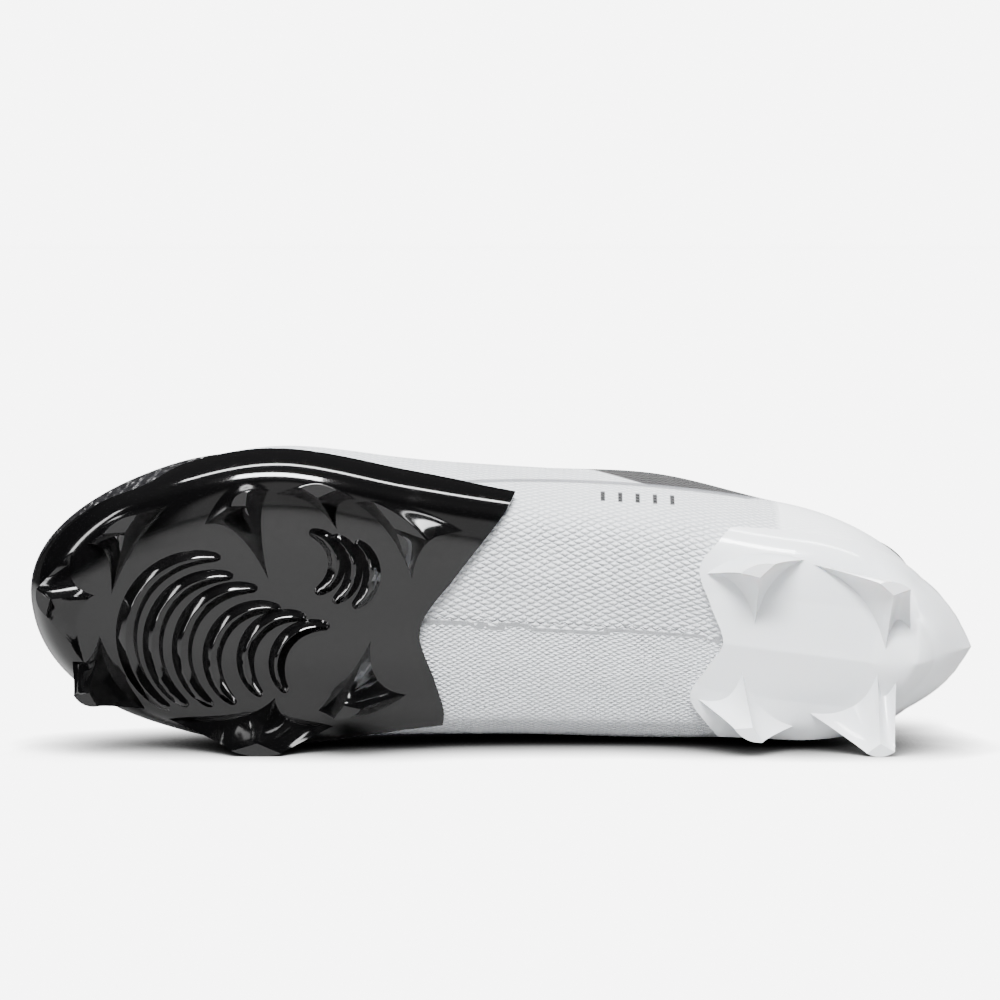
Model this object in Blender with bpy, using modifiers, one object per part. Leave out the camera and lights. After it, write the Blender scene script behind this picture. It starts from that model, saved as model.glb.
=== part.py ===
"""A left american football cleat, lying on its inner side as it would on a floor.

The shoe is first shaped standing: X runs from the heel spur to the toe, Y to the outer side of the foot, and Z up
from the ground under the studs. Every piece is cut from one surface, the outside of the upper, which closed rings
round the foot describe. At the end the whole shoe is laid down on the inner side, on the face that it rests on.
"""

import math

import bmesh
import bpy
from mathutils import Matrix, Vector

# Driving sizes, in metres
LENGTH = 0.298  # tip of the heel spur to tip of the toe
BALL_WIDTH = 0.0935  # the upper at its widest
INSTEP = 0.080  # top of the throat above the bottom of the upper
TOE_SPRING = 0.010  # how far the toe end of the bottom curves up
STUD_HEIGHT = 0.011  # forefoot studs below the plate
PLATE = 0.0025  # thickness of both moulded plates
WALL = 0.0020  # thickness of the upper
GAP = 0.0003  # between pieces that touch
SHARP_FROM = math.radians(32)  # edges sharper than this stay crisp
INSIDE = 0.0010  # how deep a plate starts inside the foot before the foot's form is cut out of it
MERGE = 0.00015  # points of one sheet nearer than this are one point
WALL_LEAN = 0.20  # the lower wall leans in by this share of its height, from the widest ring down to the wrap ring
FEATHER_IN = 0.0053  # how far the feather ring lies inside the wrap ring
FEATHER_UP = 0.0030  # feather ring above the bottom
WRAP_UP = 0.0100  # wrap ring above the bottom
INSOLE = 0.0040  # thickness of the insole
GUARD = 0.0008  # thickness of the toe guard
COLLAR_PAD = 0.0042  # thickness of the collar's padding
COLLAR_PROUD = 0.0065  # collar above the edge of the upper, beside the instep
TONGUE = 0.0028  # thickness of the tongue
TONGUE_RISE = 0.016  # tongue above the top of the throat
EYELET = 0.0046  # diameter of an eyelet hole
EYELET_PAIRS = 6
EYELETS_FROM, EYELETS_TO = 0.668, 0.452  # the lowest and the highest pair, as shares of LENGTH
EYELET_LEVEL = 6.74  # ring count of the eyelets' row
LACE_WIDTH = 0.0052
LACE_THICK = 0.0014
LACE_CLEAR = 0.0008  # lace above the upper at an eyelet
LACE_STEPS = 3
LACE_FIRST = 0.012  # how far round the throat the straight first run lies beyond the lowest eyelets
LACE_OVER = 0.94  # width of the run on top at a crossing, as a share of LACE_WIDTH
LACE_CROWN = 0.0042  # rise of a crossing between its two ends
TONGUE_CROWN = 0.0022  # rise of the tongue between the edges of the throat
TONGUE_FREE = 0.455  # where the tongue leaves the throat, as a share of LENGTH
TONGUE_LOW = 0.965  # its lowest place round the throat
TONGUE_STEPS = 7
# Rows of the tongue's free end: back and up in shares of TONGUE_RISE, and width.
TONGUE_TIP = ((0.25, 0.03, 0.84), (0.50, 0.30, 0.76), (0.74, 0.64, 0.74), (0.95, 1.00, 0.66))
TONGUE_TUCK = (0.15, 0.07, 0.0)  # how far it reaches under each edge of the throat, in rings
TONGUE_ACROSS = 6
COLLAR_REACH = 13  # facets of the upper from the heel to each front end of the collar
COLLAR_DEPTH = 0.50  # how far the lining reaches down, in rings
COLLAR_END = 0.25  # size of the collar's section at its two ends
COLLAR_TAPER = 0.11  # share of the collar over which it shrinks to each end
COLLAR_SEAT = 0.0007  # lip above the upper's edge
COLLAR_GAP = 0.0009  # lining inside the upper's wall
# Section of the collar's lip from outside to inside: rise in shares of COLLAR_PROUD, and outwards in shares of
# COLLAR_PAD. The lining below it: depth in shares of COLLAR_DEPTH, and thickness in shares of COLLAR_PAD.
COLLAR_LIP = ((0.05, 0.25), (0.45, 1.00), (0.85, 0.80), (1.00, 0.10), (0.85, -0.75), (0.00, -1.00))
COLLAR_LINING = ((0.5, 0.95), (1.0, 0.35), (1.0, 0.0))
GUARD_CLEAR = 0.10  # toe guard above the plate's rim, in rings
GUARD_GAP = 0.0008  # between the toe guard and the upper
UPPER_STEPS = 52  # facets round the upper
CORE_LEVELS = (0.08, 1, 1.5, 2, 2.4, 3, 3.5, 4, 4.5)  # rings of the foot's form that the plates are cut with
INSOLE_LEVELS = (0, 1, 1.5, 2)
UPPER_LEVELS = (0, 1, 1.5, 2, 2.4, 3, 3.5, 4, 4.5, 5, 5.5, 6, 6.5, 7)
RIB_HEIGHT = 0.0016  # grip ribs below the forefoot plate
RIB_STEPS = 7
RIB_END = 0.18  # size of a rib's section at its ends

# Sections of the upper from heel to toe. The first column is a share of LENGTH, rise is a share of TOE_SPRING, widths
# to each side of the middle are shares of BALL_WIDTH, and heights above the bottom are shares of INSTEP.
SECTION_COLUMNS = (
    "along", "rise", "side_out", "side_in", "side_up", "quarter_out", "quarter_in", "quarter_up",
    "shoulder_out", "shoulder_in", "shoulder_up",
)
SECTION_ROWS = (
    (0.035, 0.25, 0.390, 0.366, 0.30, 0.363, 0.350, 0.53, 0.310, 0.300, 0.72),
    (0.120, 0.20, 0.394, 0.370, 0.33, 0.364, 0.352, 0.53, 0.308, 0.298, 0.63),
    (0.210, 0.25, 0.412, 0.390, 0.42, 0.390, 0.376, 0.58, 0.360, 0.345, 0.63),
    (0.340, 0.60, 0.468, 0.434, 0.50, 0.450, 0.424, 0.66, 0.424, 0.388, 0.75),
    (0.470, 0.62, 0.474, 0.440, 0.46, 0.438, 0.418, 0.66, 0.345, 0.320, 0.82),
    (0.600, 0.25, 0.504, 0.440, 0.36, 0.445, 0.408, 0.57, 0.320, 0.303, 0.74),
    (0.725, 0.00, 0.545, 0.452, 0.26, 0.480, 0.415, 0.48, 0.358, 0.318, 0.64),
    (0.860, 0.30, 0.508, 0.457, 0.22, 0.452, 0.415, 0.40, 0.355, 0.330, 0.51),
    (1.000, 1.25, 0.465, 0.515, 0.185, 0.415, 0.465, 0.275, 0.350, 0.385, 0.36),
)
# The edge of the collar and the throat, in the same shares.
EDGE_COLUMNS = ("along", "out", "in", "up")
EDGE_ROWS = (
    (0.044, 0.270, 0.262, 0.90),
    (0.124, 0.274, 0.264, 0.72),
    (0.208, 0.334, 0.314, 0.67),
    (0.252, 0.362, 0.334, 0.71),
    (0.339, 0.396, 0.354, 0.82),
    (0.420, 0.310, 0.284, 0.94),
    (0.503, 0.182, 0.176, 0.91),
    (0.600, 0.142, 0.142, 0.83),
    (0.688, 0.120, 0.120, 0.77),
)
# Where each ring round the foot turns at the heel and at the toe, and where its round ends begin, as shares of LENGTH.
RING_ENDS = {
    "keel": (0.150, 0.870, 0.200, 0.725),
    "tread": (0.088, 0.945, 0.200, 0.725),
    "feather": (0.055, 0.974, 0.200, 0.725),
    "wrap": (0.044, 0.989, 0.200, 0.725),
    "side": (0.036, 0.997, 0.200, 0.725),
    "quarter": (0.042, 0.968, 0.200, 0.715),
    "shoulder": (0.047, 0.890, 0.180, 0.700),
    "edge": (0.044, 0.688, 0.150, 0.652),
}
RINGS = tuple(RING_ENDS)
FEATHER, WRAP, SIDE, EDGE = (RINGS.index(name) for name in ("feather", "wrap", "side", "edge"))
TREAD_SHARE = 0.60  # width of the tread ring in the feather ring

# Rear edge of the forefoot plate and front edge of the heel plate: across is a share of BALL_WIDTH, out positive, and
# along a share of LENGTH.
FORE_EDGE = ((-0.500, 0.570), (-0.309, 0.555), (-0.190, 0.566), (-0.090, 0.580), (-0.035, 0.585), (0.040, 0.579),
             (0.150, 0.555), (0.300, 0.521), (0.425, 0.492), (0.560, 0.478))
HEEL_EDGE = ((-0.400, 0.235), (-0.316, 0.264), (-0.198, 0.296), (-0.100, 0.282), (0.000, 0.266), (0.120, 0.281),
             (0.240, 0.295), (0.326, 0.275), (0.400, 0.245))
# How high each plate reaches up the rings: along, then ring counts on the outer and the inner side.
RIM_COLUMNS = ("along", "out", "in")
FORE_RIM = (
    (0.460, 2.85, 1.80), (0.560, 3.05, 1.95), (0.640, 3.10, 2.30), (0.720, 3.10, 2.85), (0.840, 3.10, 3.05),
    (0.885, 2.60, 3.05), (0.930, 2.75, 3.00), (1.000, 3.05, 3.05),
)
HEEL_RIM = ((0.030, 3.70, 3.70), (0.080, 3.20, 3.10), (0.150, 2.75, 2.60), (0.220, 2.70, 2.40), (0.300, 2.20, 2.20))
# The toe guard reaches from the plate's rim up to these.
GUARD_RIM = ((0.800, 3.50, 3.50), (0.860, 4.10, 4.10), (0.920, 4.70, 4.70), (1.000, 5.20, 5.20))
GUARD_START = 0.800
FORE_GRID, HEEL_GRID, GUARD_GRID = (8, 18), (7, 12), (4, 26)  # rows up the foot and steps round it

# Studs. tip and ends are (along, across) in shares of LENGTH and BALL_WIDTH. Each has a flat tip between two points,
# a fin from each end of it down to the plate, a buttress towards the middle of the foot and a foot at the rim. raised
# is how far the tip stays above the ground, as a share of STUD_HEIGHT, where the toe curves up.
STUD_COLUMNS = ("name", "tip_a", "tip_b", "fin_a", "fin_b", "buttress", "foot", "raised")
FORE_STUDS = (
    ("toe", (0.985, 0.055), (0.974, -0.035), (0.955, 0.145), (0.938, -0.190), (0.932, 0.030), (0.970, 0.015), 1.10),
    ("outer_toe", (0.915, 0.269), (0.882, 0.338), (0.930, 0.215), (0.860, 0.345), (0.908, 0.070), (0.906, 0.300), 0.45),
    ("inner_toe", (0.940, -0.285), (0.915, -0.318), (0.944, -0.225), (0.878, -0.340), (0.920, -0.130), (0.922, -0.300),
     0.55),
    ("outer_front", (0.784, 0.395), (0.768, 0.445), (0.808, 0.320), (0.752, 0.430), (0.748, 0.165), (0.785, 0.440), 0.0),
    ("outer_ball", (0.714, 0.470), (0.677, 0.468), (0.734, 0.425), (0.664, 0.420), (0.678, 0.335), (0.697, 0.455), 0.0),
    ("outer_rear", (0.638, 0.434), (0.582, 0.318), (0.650, 0.395), (0.556, 0.335), (0.596, 0.185), (0.603, 0.400), 0.0),
    ("inner_ball", (0.772, -0.428), (0.720, -0.428), (0.828, -0.385), (0.682, -0.370), (0.733, -0.290),
     (0.745, -0.400), 0.0),
    ("inner_rear", (0.668, -0.300), (0.640, -0.262), (0.680, -0.300), (0.603, -0.245), (0.636, -0.085),
     (0.642, -0.325), 0.0),
)
HEEL_STUDS = (
    ("outer_front", (0.256, 0.266), (0.222, 0.302), (0.280, 0.235), (0.196, 0.290), (0.236, 0.100), (0.242, 0.298), 0.0),
    ("outer_back", (0.112, 0.258), (0.080, 0.244), (0.166, 0.275), (0.078, 0.110), (0.098, 0.050), (0.098, 0.210), 0.0),
    ("inner_front", (0.252, -0.258), (0.222, -0.300), (0.280, -0.215), (0.196, -0.275), (0.245, -0.118),
     (0.242, -0.280), 0.0),
    ("inner_back", (0.113, -0.316), (0.084, -0.306), (0.160, -0.235), (0.088, -0.125), (0.104, -0.100),
     (0.106, -0.190), 0.0),
)
STUD_TIP_WIDTH = 0.0026
TIP_TAPER = 0.6  # outer half of a tip's ends, as a share of half its width
TIP_NOSE = 2.2  # the tip's bulge over its buttress, as a share of half its width
VALLEY = 0.52  # how deep the hollow between a fin and the buttress goes towards the tip
ROOT_DEPTH = 0.4  # how far into a plate its studs and spur start, as a share of PLATE
STUD_REACH = 2.15  # studs and ribs stand on the bottom, no further up its edge than these ring counts
RIB_REACH = 2.40
# Grip ribs: each is an arc through its two ends and the bend between them, given as (along, across) in shares of
# LENGTH and BALL_WIDTH. The width is a share of BALL_WIDTH.
RIB_COLUMNS = ("outer_end", "bend", "inner_end", "width")
RIBS = (
    ((0.795, 0.197), (0.890, -0.063), (0.841, -0.337), 0.042),
    ((0.781, 0.137), (0.862, -0.092), (0.822, -0.318), 0.040),
    ((0.755, 0.100), (0.831, -0.125), (0.796, -0.310), 0.040),
    ((0.730, 0.037), (0.799, -0.135), (0.772, -0.296), 0.038),
    ((0.703, 0.011), (0.764, -0.145), (0.745, -0.262), 0.036),
    ((0.678, -0.016), (0.731, -0.149), (0.719, -0.245), 0.034),
    ((0.704, 0.300), (0.674, 0.215), (0.695, 0.099), 0.034),
    ((0.680, 0.290), (0.656, 0.190), (0.676, 0.070), 0.034),
    ((0.656, 0.275), (0.637, 0.175), (0.655, 0.055), 0.034),
)
SPUR_UP = 0.165  # tip of the spur above the bottom, as a share of INSTEP
SPUR_ROOT = 0.062  # where the spur's root starts, and where its back lies inside the heel, as shares of LENGTH
SPUR_BURIED = 0.10
SPUR_TOP = 3.7  # ring count of the top of the spur's root


def read(rows, columns, name, at):
    """A named column of a table at a share of the first column, on a smooth curve through its rows."""
    k = columns.index(name)
    xs, ys = [row[0] for row in rows], [row[k] for row in rows]
    if at <= xs[0]:
        return ys[0]
    if at >= xs[-1]:
        return ys[-1]
    i = max(j for j in range(len(xs) - 1) if xs[j] <= at)

    def slope(j):
        a, b = max(j - 1, 0), min(j + 1, len(xs) - 1)
        return (ys[b] - ys[a]) / (xs[b] - xs[a])

    h = xs[i + 1] - xs[i]
    t = (at - xs[i]) / h
    return ((1 + 2 * t) * (1 - t) ** 2 * ys[i] + t * (1 - t) ** 2 * h * slope(i)
            + t * t * (3 - 2 * t) * ys[i + 1] + t * t * (t - 1) * h * slope(i + 1))


def bottom(along):
    """Height of the middle of the upper's bottom above the ground."""
    return STUD_HEIGHT + PLATE + GAP + TOE_SPRING * read(SECTION_ROWS, SECTION_COLUMNS, "rise", along)


def ring_point(number, around):
    """A point of one ring. around is 0 at the heel, 1 and -1 at the toe, positive on the outer side."""
    name = RINGS[number]
    heel, toe, heel_round, toe_round = RING_ENDS[name]
    along = heel + (toe - heel) * (1 - math.cos(math.pi * around)) / 2
    side = "out" if around >= 0 else "in"
    rows, columns, width, up = SECTION_ROWS, SECTION_COLUMNS, f"side_{side}", 0.0
    if name in ("quarter", "shoulder"):
        width = f"{name}_{side}"
    elif name == "edge":
        rows, columns, width = EDGE_ROWS, EDGE_COLUMNS, side
    half = read(rows, columns, width, along) * BALL_WIDTH
    if name in ("side", "quarter", "shoulder"):
        up = INSTEP * read(rows, columns, f"{name}_up", along)
    elif name == "edge":
        up = INSTEP * read(rows, columns, "up", along)
    else:
        half -= WALL_LEAN * max(INSTEP * read(rows, columns, "side_up", along) - WRAP_UP, 0)
        half -= 0 if name == "wrap" else FEATHER_IN
        half *= {"keel": 0, "tread": TREAD_SHARE}.get(name, 1)
        up = {"wrap": WRAP_UP, "feather": FEATHER_UP}.get(name, 0.0)
    turn = max((heel_round - along) / (heel_round - heel), (along - toe_round) / (toe - toe_round), 0.0)
    half *= math.sqrt(max(1 - turn * turn, 0.0))
    return Vector((along * LENGTH, half if around >= 0 else -half, bottom(along) + up))


def between(points, t):
    """The middle stretch of a smooth curve through four points, with spans by the root of their distance."""
    knots = [0.0]
    for a, b in zip(points, points[1:]):
        knots.append(knots[-1] + max(math.sqrt((b - a).length), 1e-5))
    t = knots[1] + (knots[2] - knots[1]) * t

    def blend(i, j, a, b):
        return a * ((knots[j] - t) / (knots[j] - knots[i])) + b * ((t - knots[i]) / (knots[j] - knots[i]))

    first = [blend(i, i + 1, points[i], points[i + 1]) for i in range(3)]
    second = [blend(i, i + 2, first[i], first[i + 1]) for i in range(2)]
    return blend(1, 2, *second)


def surface(around, level):
    """The outside of the upper. level counts the rings from 0 at the keel to EDGE, and may run a little past it."""
    if level < 0:
        around, level = -around, -level
    if around > 1:
        around -= 2
    if around < -1:
        around += 2
    i = min(int(level), EDGE - 1)
    before = ring_point(i - 1, around) if i else ring_point(1, -around if abs(around) > 0 else 0.0)
    if not i:
        before.x = ring_point(1, around).x
    here, there = ring_point(i, around), ring_point(i + 1, around)
    after = ring_point(i + 2, around) if i + 2 <= EDGE else there * 2 - here
    if level > i + 1:
        return there + (there - here).normalized() * (level - i - 1) * (there - here).length
    return between([before, here, there, after], level - i)


def outward(around, level):
    """The direction out of the surface."""
    step = 0.004
    if level < 0.6:
        around = math.copysign(min(max(abs(around), 0.03), 0.97), around)
    low, high = level - step * 5, min(level + step * 5, EDGE + 0.5)
    along = surface(around + step, level) - surface(around - step, level)
    across = surface(around, high) - surface(around, low)
    return -along.cross(across).normalized()


def skin(around, level, out=0.0):
    """A point that far outside the upper's surface."""
    return surface(around, level) + outward(around, level) * out


def around_at(along, level, side):
    """The place on a ring at a share of LENGTH, on the outer side for 1 and the inner side for -1."""
    low, high = 0.0, 1.0
    for _ in range(30):
        middle = (low + high) / 2
        if surface(side * middle, level).x < along * LENGTH:
            low = middle
        else:
            high = middle
    return side * low


def bottom_at(along, across, out, reach):
    """The point below the bottom at (along, across), in shares of LENGTH and BALL_WIDTH, no further up than reach."""
    side = 1 if across >= 0 else -1
    low, high = 0.0, reach
    for _ in range(26):
        level = (low + high) / 2
        if abs(surface(around_at(along, level, side), level).y) < abs(across) * BALL_WIDTH:
            low = level
        else:
            high = level
    return skin(around_at(along, low, side), low, out)


def node(name, mesh_builder, paint):
    """A named object from a bmesh, with its own material."""
    mesh = bpy.data.meshes.new(name)
    mesh_builder.to_mesh(mesh)
    mesh_builder.free()
    made = bpy.data.objects.new(name, mesh)
    made.data.materials.append(paint)
    return made


def material(name, colour, roughness):
    made = bpy.data.materials.new(name)
    made.use_nodes = True
    shader = made.node_tree.nodes["Principled BSDF"]
    shader.inputs["Base Color"].default_value = (*colour, 1)
    shader.inputs["Roughness"].default_value = roughness
    made.diffuse_color = (*colour, 1)
    return made


def grid_faces(built, rows, closed):
    """Quads between neighbouring rows of vertices, facing out of the shoe."""
    for low, high in zip(rows, rows[1:]):
        count = len(low)
        for i in range(count if closed else count - 1):
            j = (i + 1) % count
            built.faces.new((low[i], high[i], high[j], low[j]))


def tube_faces(built, loops):
    """A closed solid through loops of the same count, with a flat face at each end."""
    count = len(loops[0])
    for one, two in zip(loops, loops[1:]):
        for k in range(count):
            built.faces.new((one[k], one[(k + 1) % count], two[(k + 1) % count], two[k]))
    built.faces.new(list(reversed(loops[0])))
    built.faces.new(loops[-1])
    bmesh.ops.recalc_face_normals(built, faces=built.faces)


def loop_sheet(levels, out, steps):
    """An open sheet of whole rings. Each level is a number or a function of around."""
    built = bmesh.new()
    arounds = [-1 + 2 * (i + 1) / steps for i in range(steps)]
    rows = [
        [built.verts.new(skin(a, level(a) if callable(level) else level, out)) for a in arounds] for level in levels
    ]
    grid_faces(built, rows, True)
    bmesh.ops.remove_doubles(built, verts=built.verts, dist=MERGE)
    bmesh.ops.delete(built, geom=[f for f in built.faces if f.calc_area() < 1e-10], context="FACES")
    return built


def arc_sheet(rim, cut, toe, rows, steps, out):
    """An open sheet over one end of the bottom. rim gives the top ring count at a place, cut the plate's own edge as
    along from across, and toe says which end of the foot it covers."""
    built = bmesh.new()

    def level_at(around, share):
        along = ring_point(SIDE, around).x / LENGTH
        return share * read(rim, RIM_COLUMNS, "out" if around >= 0 else "in", along)

    def start(share, side):
        low, high = 0.02, 0.98
        for _ in range(24):
            middle = (low + high) / 2
            point = surface(side * middle, level_at(side * middle, share))
            if point.x < LENGTH * read(cut, ("across", "along"), "along", point.y / BALL_WIDTH):
                low = middle
            else:
                high = middle
        return low

    lines = []
    for j in range(rows + 1):
        share = j / rows
        ends = [start(share, 1), start(share, -1)]
        goal = 1.0 if toe else 0.0
        halves = [[e + (goal - e) * i / steps for i in range(steps + 1)] for e in ends]
        arounds = halves[0] + [-a for a in reversed(halves[1][:-1])]
        lines.append([built.verts.new(skin(a, level_at(a, share), out)) for a in arounds])
    grid_faces(built, lines if toe else [list(reversed(line)) for line in lines], False)
    bmesh.ops.remove_doubles(built, verts=built.verts, dist=MERGE)
    return built


def thicken(obj, thickness, side, start=0.0):
    """Gives an open sheet its thickness: side is 1 outwards and -1 inwards. start is how far off the sheet it begins."""
    made = obj.modifiers.new("wall", "SOLIDIFY")
    made.thickness = thickness
    made.offset = side * (1 + 2 * start / thickness)
    made.use_even_offset = True
    made.use_quality_normals = True
    obj.modifiers.new("triangles", "TRIANGULATE")


def combine(obj, other, operation):
    """Joins or cuts with a closed helper that stays out of the render."""
    made = obj.modifiers.new(operation.lower(), "BOOLEAN")
    made.operation, made.solver, made.object = operation, "MANIFOLD", other
    if other.name not in helpers.objects:
        helpers.objects.link(other)
    other.hide_render = True
    other.display_type = "WIRE"


def stud_solid(row):
    """A stud with two fins, a buttress and a flat tip. Its root lies inside the plate."""
    built = bmesh.new()
    stud = dict(zip(STUD_COLUMNS, row))

    def place(point):
        return bottom_at(point[0], point[1], GAP + PLATE * ROOT_DEPTH, STUD_REACH)

    def plan(point):
        return Vector((point[0] * LENGTH, point[1] * BALL_WIDTH, 0))

    tip_z = stud["raised"] * STUD_HEIGHT
    a, b = plan(stud["tip_a"]), plan(stud["tip_b"])
    inward = (plan(stud["buttress"]) - (a + b) / 2).normalized()
    run = (b - a).normalized()
    inward = (inward - run * inward.dot(run)).normalized()
    half = STUD_TIP_WIDTH / 2
    top = [
        a - inward * half * TIP_TAPER, a + inward * half, (a + b) / 2 + inward * half * TIP_NOSE,
        b + inward * half, b - inward * half * TIP_TAPER, (a + b) / 2 - inward * half,
    ]
    high = [built.verts.new((p.x, p.y, tip_z)) for p in top]

    def mix(one, two, share):
        return tuple(u + (v - u) * share for u, v in zip(one, two))

    middle = mix(stud["tip_a"], stud["tip_b"], 0.5)
    valley_a = mix(mix(stud["fin_a"], stud["buttress"], 0.5), middle, VALLEY)
    valley_b = mix(mix(stud["fin_b"], stud["buttress"], 0.5), middle, VALLEY)
    base = (stud["fin_a"], valley_a, stud["buttress"], valley_b, stud["fin_b"], stud["foot"])
    low = [built.verts.new(place(p)) for p in base]
    tube_faces(built, [low, high])
    return built


def arc_through(first, middle, last, t):
    """A point of the plane arc through three points, t from 0 to 1, and the direction away from its centre."""
    a, b, c = (Vector((p[0] * LENGTH, p[1] * BALL_WIDTH)) for p in (first, middle, last))
    ab, ac = b - a, c - a
    cross = 2 * (ab.x * ac.y - ab.y * ac.x)
    centre = a + Vector((ac.y * ab.length_squared - ab.y * ac.length_squared,
                         ab.x * ac.length_squared - ac.x * ab.length_squared)) / cross
    sweep = (a - centre).angle_signed(c - centre)
    ray = (a - centre).copy()
    ray.rotate(Matrix.Rotation(-sweep * t, 2))
    return centre + ray, ray.normalized()


def rib_solid(row):
    """A curved grip rib that tapers to both ends, with its back sunk in the plate."""
    built = bmesh.new()
    rib = dict(zip(RIB_COLUMNS, row))
    loops = []
    for i in range(RIB_STEPS + 1):
        t = i / RIB_STEPS
        point, ray = arc_through(rib["outer_end"], rib["bend"], rib["inner_end"], t)
        taper = RIB_END + (1 - RIB_END) * math.sin(math.pi * t) ** 0.6
        half = rib["width"] * BALL_WIDTH / 2 * taper
        loop = []
        for across, out in ((half, GAP + PLATE / 2), (half * 0.3, GAP + PLATE + RIB_HEIGHT * taper),
                            (-half * 0.3, GAP + PLATE + RIB_HEIGHT * taper), (-half, GAP + PLATE / 2)):
            place = point + ray * across
            loop.append(built.verts.new(bottom_at(place.x / LENGTH, place.y / BALL_WIDTH, out, RIB_REACH)))
        loops.append(loop)
    tube_faces(built, loops)
    return built


def closed_helper(name, built):
    """A helper solid with its faces turned out."""
    bmesh.ops.triangulate(built, faces=built.faces)
    bmesh.ops.recalc_face_normals(built, faces=built.faces)
    mesh = bpy.data.meshes.new(name)
    built.to_mesh(mesh)
    built.free()
    return bpy.data.objects.new(name, mesh)


def open_helper(name, built):
    """A helper sheet that still needs its thickness."""
    mesh = bpy.data.meshes.new(name)
    built.to_mesh(mesh)
    built.free()
    return bpy.data.objects.new(name, mesh)


def foot_core():
    """Everything inside the upper's surface up to the quarter, with the gap that touching pieces keep."""
    built = loop_sheet(CORE_LEVELS, GAP, UPPER_STEPS)
    rim = [e for e in built.edges if e.is_boundary]
    bmesh.ops.holes_fill(built, edges=rim, sides=0)
    return closed_helper("core", built)


def make_forefoot_plate():
    """The black forefoot plate: a shell up the sides of the foot, with grip ribs and studs moulded on."""
    sheet = arc_sheet(FORE_RIM, FORE_EDGE, True, *FORE_GRID, -INSIDE)
    plate = node("forefoot_plate", sheet, material("black_gloss", (0.012, 0.012, 0.014), 0.12))
    thicken(plate, INSIDE + GAP + PLATE, 1)
    for i, row in enumerate(RIBS):
        combine(plate, closed_helper(f"rib_{i}", rib_solid(row)), "UNION")
    for row in FORE_STUDS:
        combine(plate, closed_helper(f"fore_stud_{row[0]}", stud_solid(row)), "UNION")
    combine(plate, core, "DIFFERENCE")
    return plate


def make_heel_plate():
    """The white heel plate, with four corner studs and the spur behind the heel."""
    sheet = arc_sheet(HEEL_RIM, HEEL_EDGE, False, *HEEL_GRID, -INSIDE)
    plate = node("heel_plate", sheet, material("white_gloss", (0.80, 0.81, 0.83), 0.2))
    thicken(plate, INSIDE + GAP + PLATE, 1)
    for row in HEEL_STUDS:
        combine(plate, closed_helper(f"heel_stud_{row[0]}", stud_solid(row)), "UNION")
    spur = bmesh.new()
    for side in (1, -1):
        for level in (WRAP, SPUR_TOP):
            spur.verts.new(skin(around_at(SPUR_ROOT, WRAP, side), level, GAP + PLATE * ROOT_DEPTH))
    spur.verts.new(skin(0.0, FEATHER, GAP + PLATE * ROOT_DEPTH))
    for along in (0.0, SPUR_BURIED):
        spur.verts.new((along * LENGTH, 0, bottom(SPUR_BURIED) + SPUR_UP * INSTEP))
    bmesh.ops.convex_hull(spur, input=spur.verts)
    combine(plate, closed_helper("spur", spur), "UNION")
    combine(plate, core, "DIFFERENCE")
    return plate


def eyelet_places():
    """Where the eyelets sit along the throat: the ring position of each pair, from the toe end upwards."""
    first, last = around_at(EYELETS_FROM, EDGE, 1), around_at(EYELETS_TO, EDGE, 1)
    return [first + (last - first) * i / (EYELET_PAIRS - 1) for i in range(EYELET_PAIRS)]


def eyelet_cutter():
    """Pins through the wall, one for each eyelet."""
    pins = bmesh.new()
    for around in eyelet_places():
        for side in (1, -1):
            centre = skin(side * around, EYELET_LEVEL, -WALL / 2)
            out = outward(side * around, EYELET_LEVEL)
            place = Matrix.Translation(centre) @ out.to_track_quat("Z", "Y").to_matrix().to_4x4()
            bmesh.ops.create_cone(pins, cap_ends=True, segments=8, radius1=EYELET / 2, radius2=EYELET / 2,
                                  depth=WALL * 5, matrix=place)
    return closed_helper("eyelet_pins", pins)


def make_upper():
    """One hollow textile wall all round the foot, open at the collar and the throat, with eyelet holes."""
    upper = node("upper", loop_sheet(UPPER_LEVELS, 0.0, UPPER_STEPS), material("white_textile", (0.78, 0.79, 0.81), 0.8))
    thicken(upper, WALL, -1)
    combine(upper, eyelet_cutter(), "DIFFERENCE")
    return upper


def make_insole():
    """A thin footbed on the upper's inner bottom."""
    sheet = loop_sheet(INSOLE_LEVELS, 0.0, UPPER_STEPS)
    insole = node("insole", sheet, material("grey_foam", (0.20, 0.20, 0.21), 0.9))
    thicken(insole, INSOLE, -1, WALL + GAP)
    return insole


def make_toe_guard():
    """A thin overlay round the toe, from just above the plate's rim."""
    built = bmesh.new()
    begin = around_at(GUARD_START, WRAP, 1)
    rows, steps = GUARD_GRID
    lines = []
    for j in range(rows + 1):
        line = []
        for i in range(steps + 1):
            turn = begin + (2 - 2 * begin) * i / steps
            around = turn if turn <= 1 else turn - 2
            along = ring_point(SIDE, around).x / LENGTH
            side = "out" if around >= 0 else "in"
            low = read(FORE_RIM, RIM_COLUMNS, side, along)
            high = read(GUARD_RIM, RIM_COLUMNS, side, along)
            line.append(built.verts.new(skin(around, low + (high - low) * j / rows, GUARD_GAP)))
        lines.append(line)
    grid_faces(built, lines, False)
    guard = node("toe_guard", built, material("black_pebble", (0.02, 0.02, 0.022), 0.45))
    thicken(guard, GUARD, 1)
    clear_rim = tuple((along, one + GUARD_CLEAR, two + GUARD_CLEAR) for along, one, two in FORE_RIM)
    room = open_helper("plate_room", arc_sheet(clear_rim, FORE_EDGE, True, *FORE_GRID, -INSIDE))
    thicken(room, INSIDE + GAP + PLATE + GAP, 1)
    combine(guard, room, "DIFFERENCE")
    return guard


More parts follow.
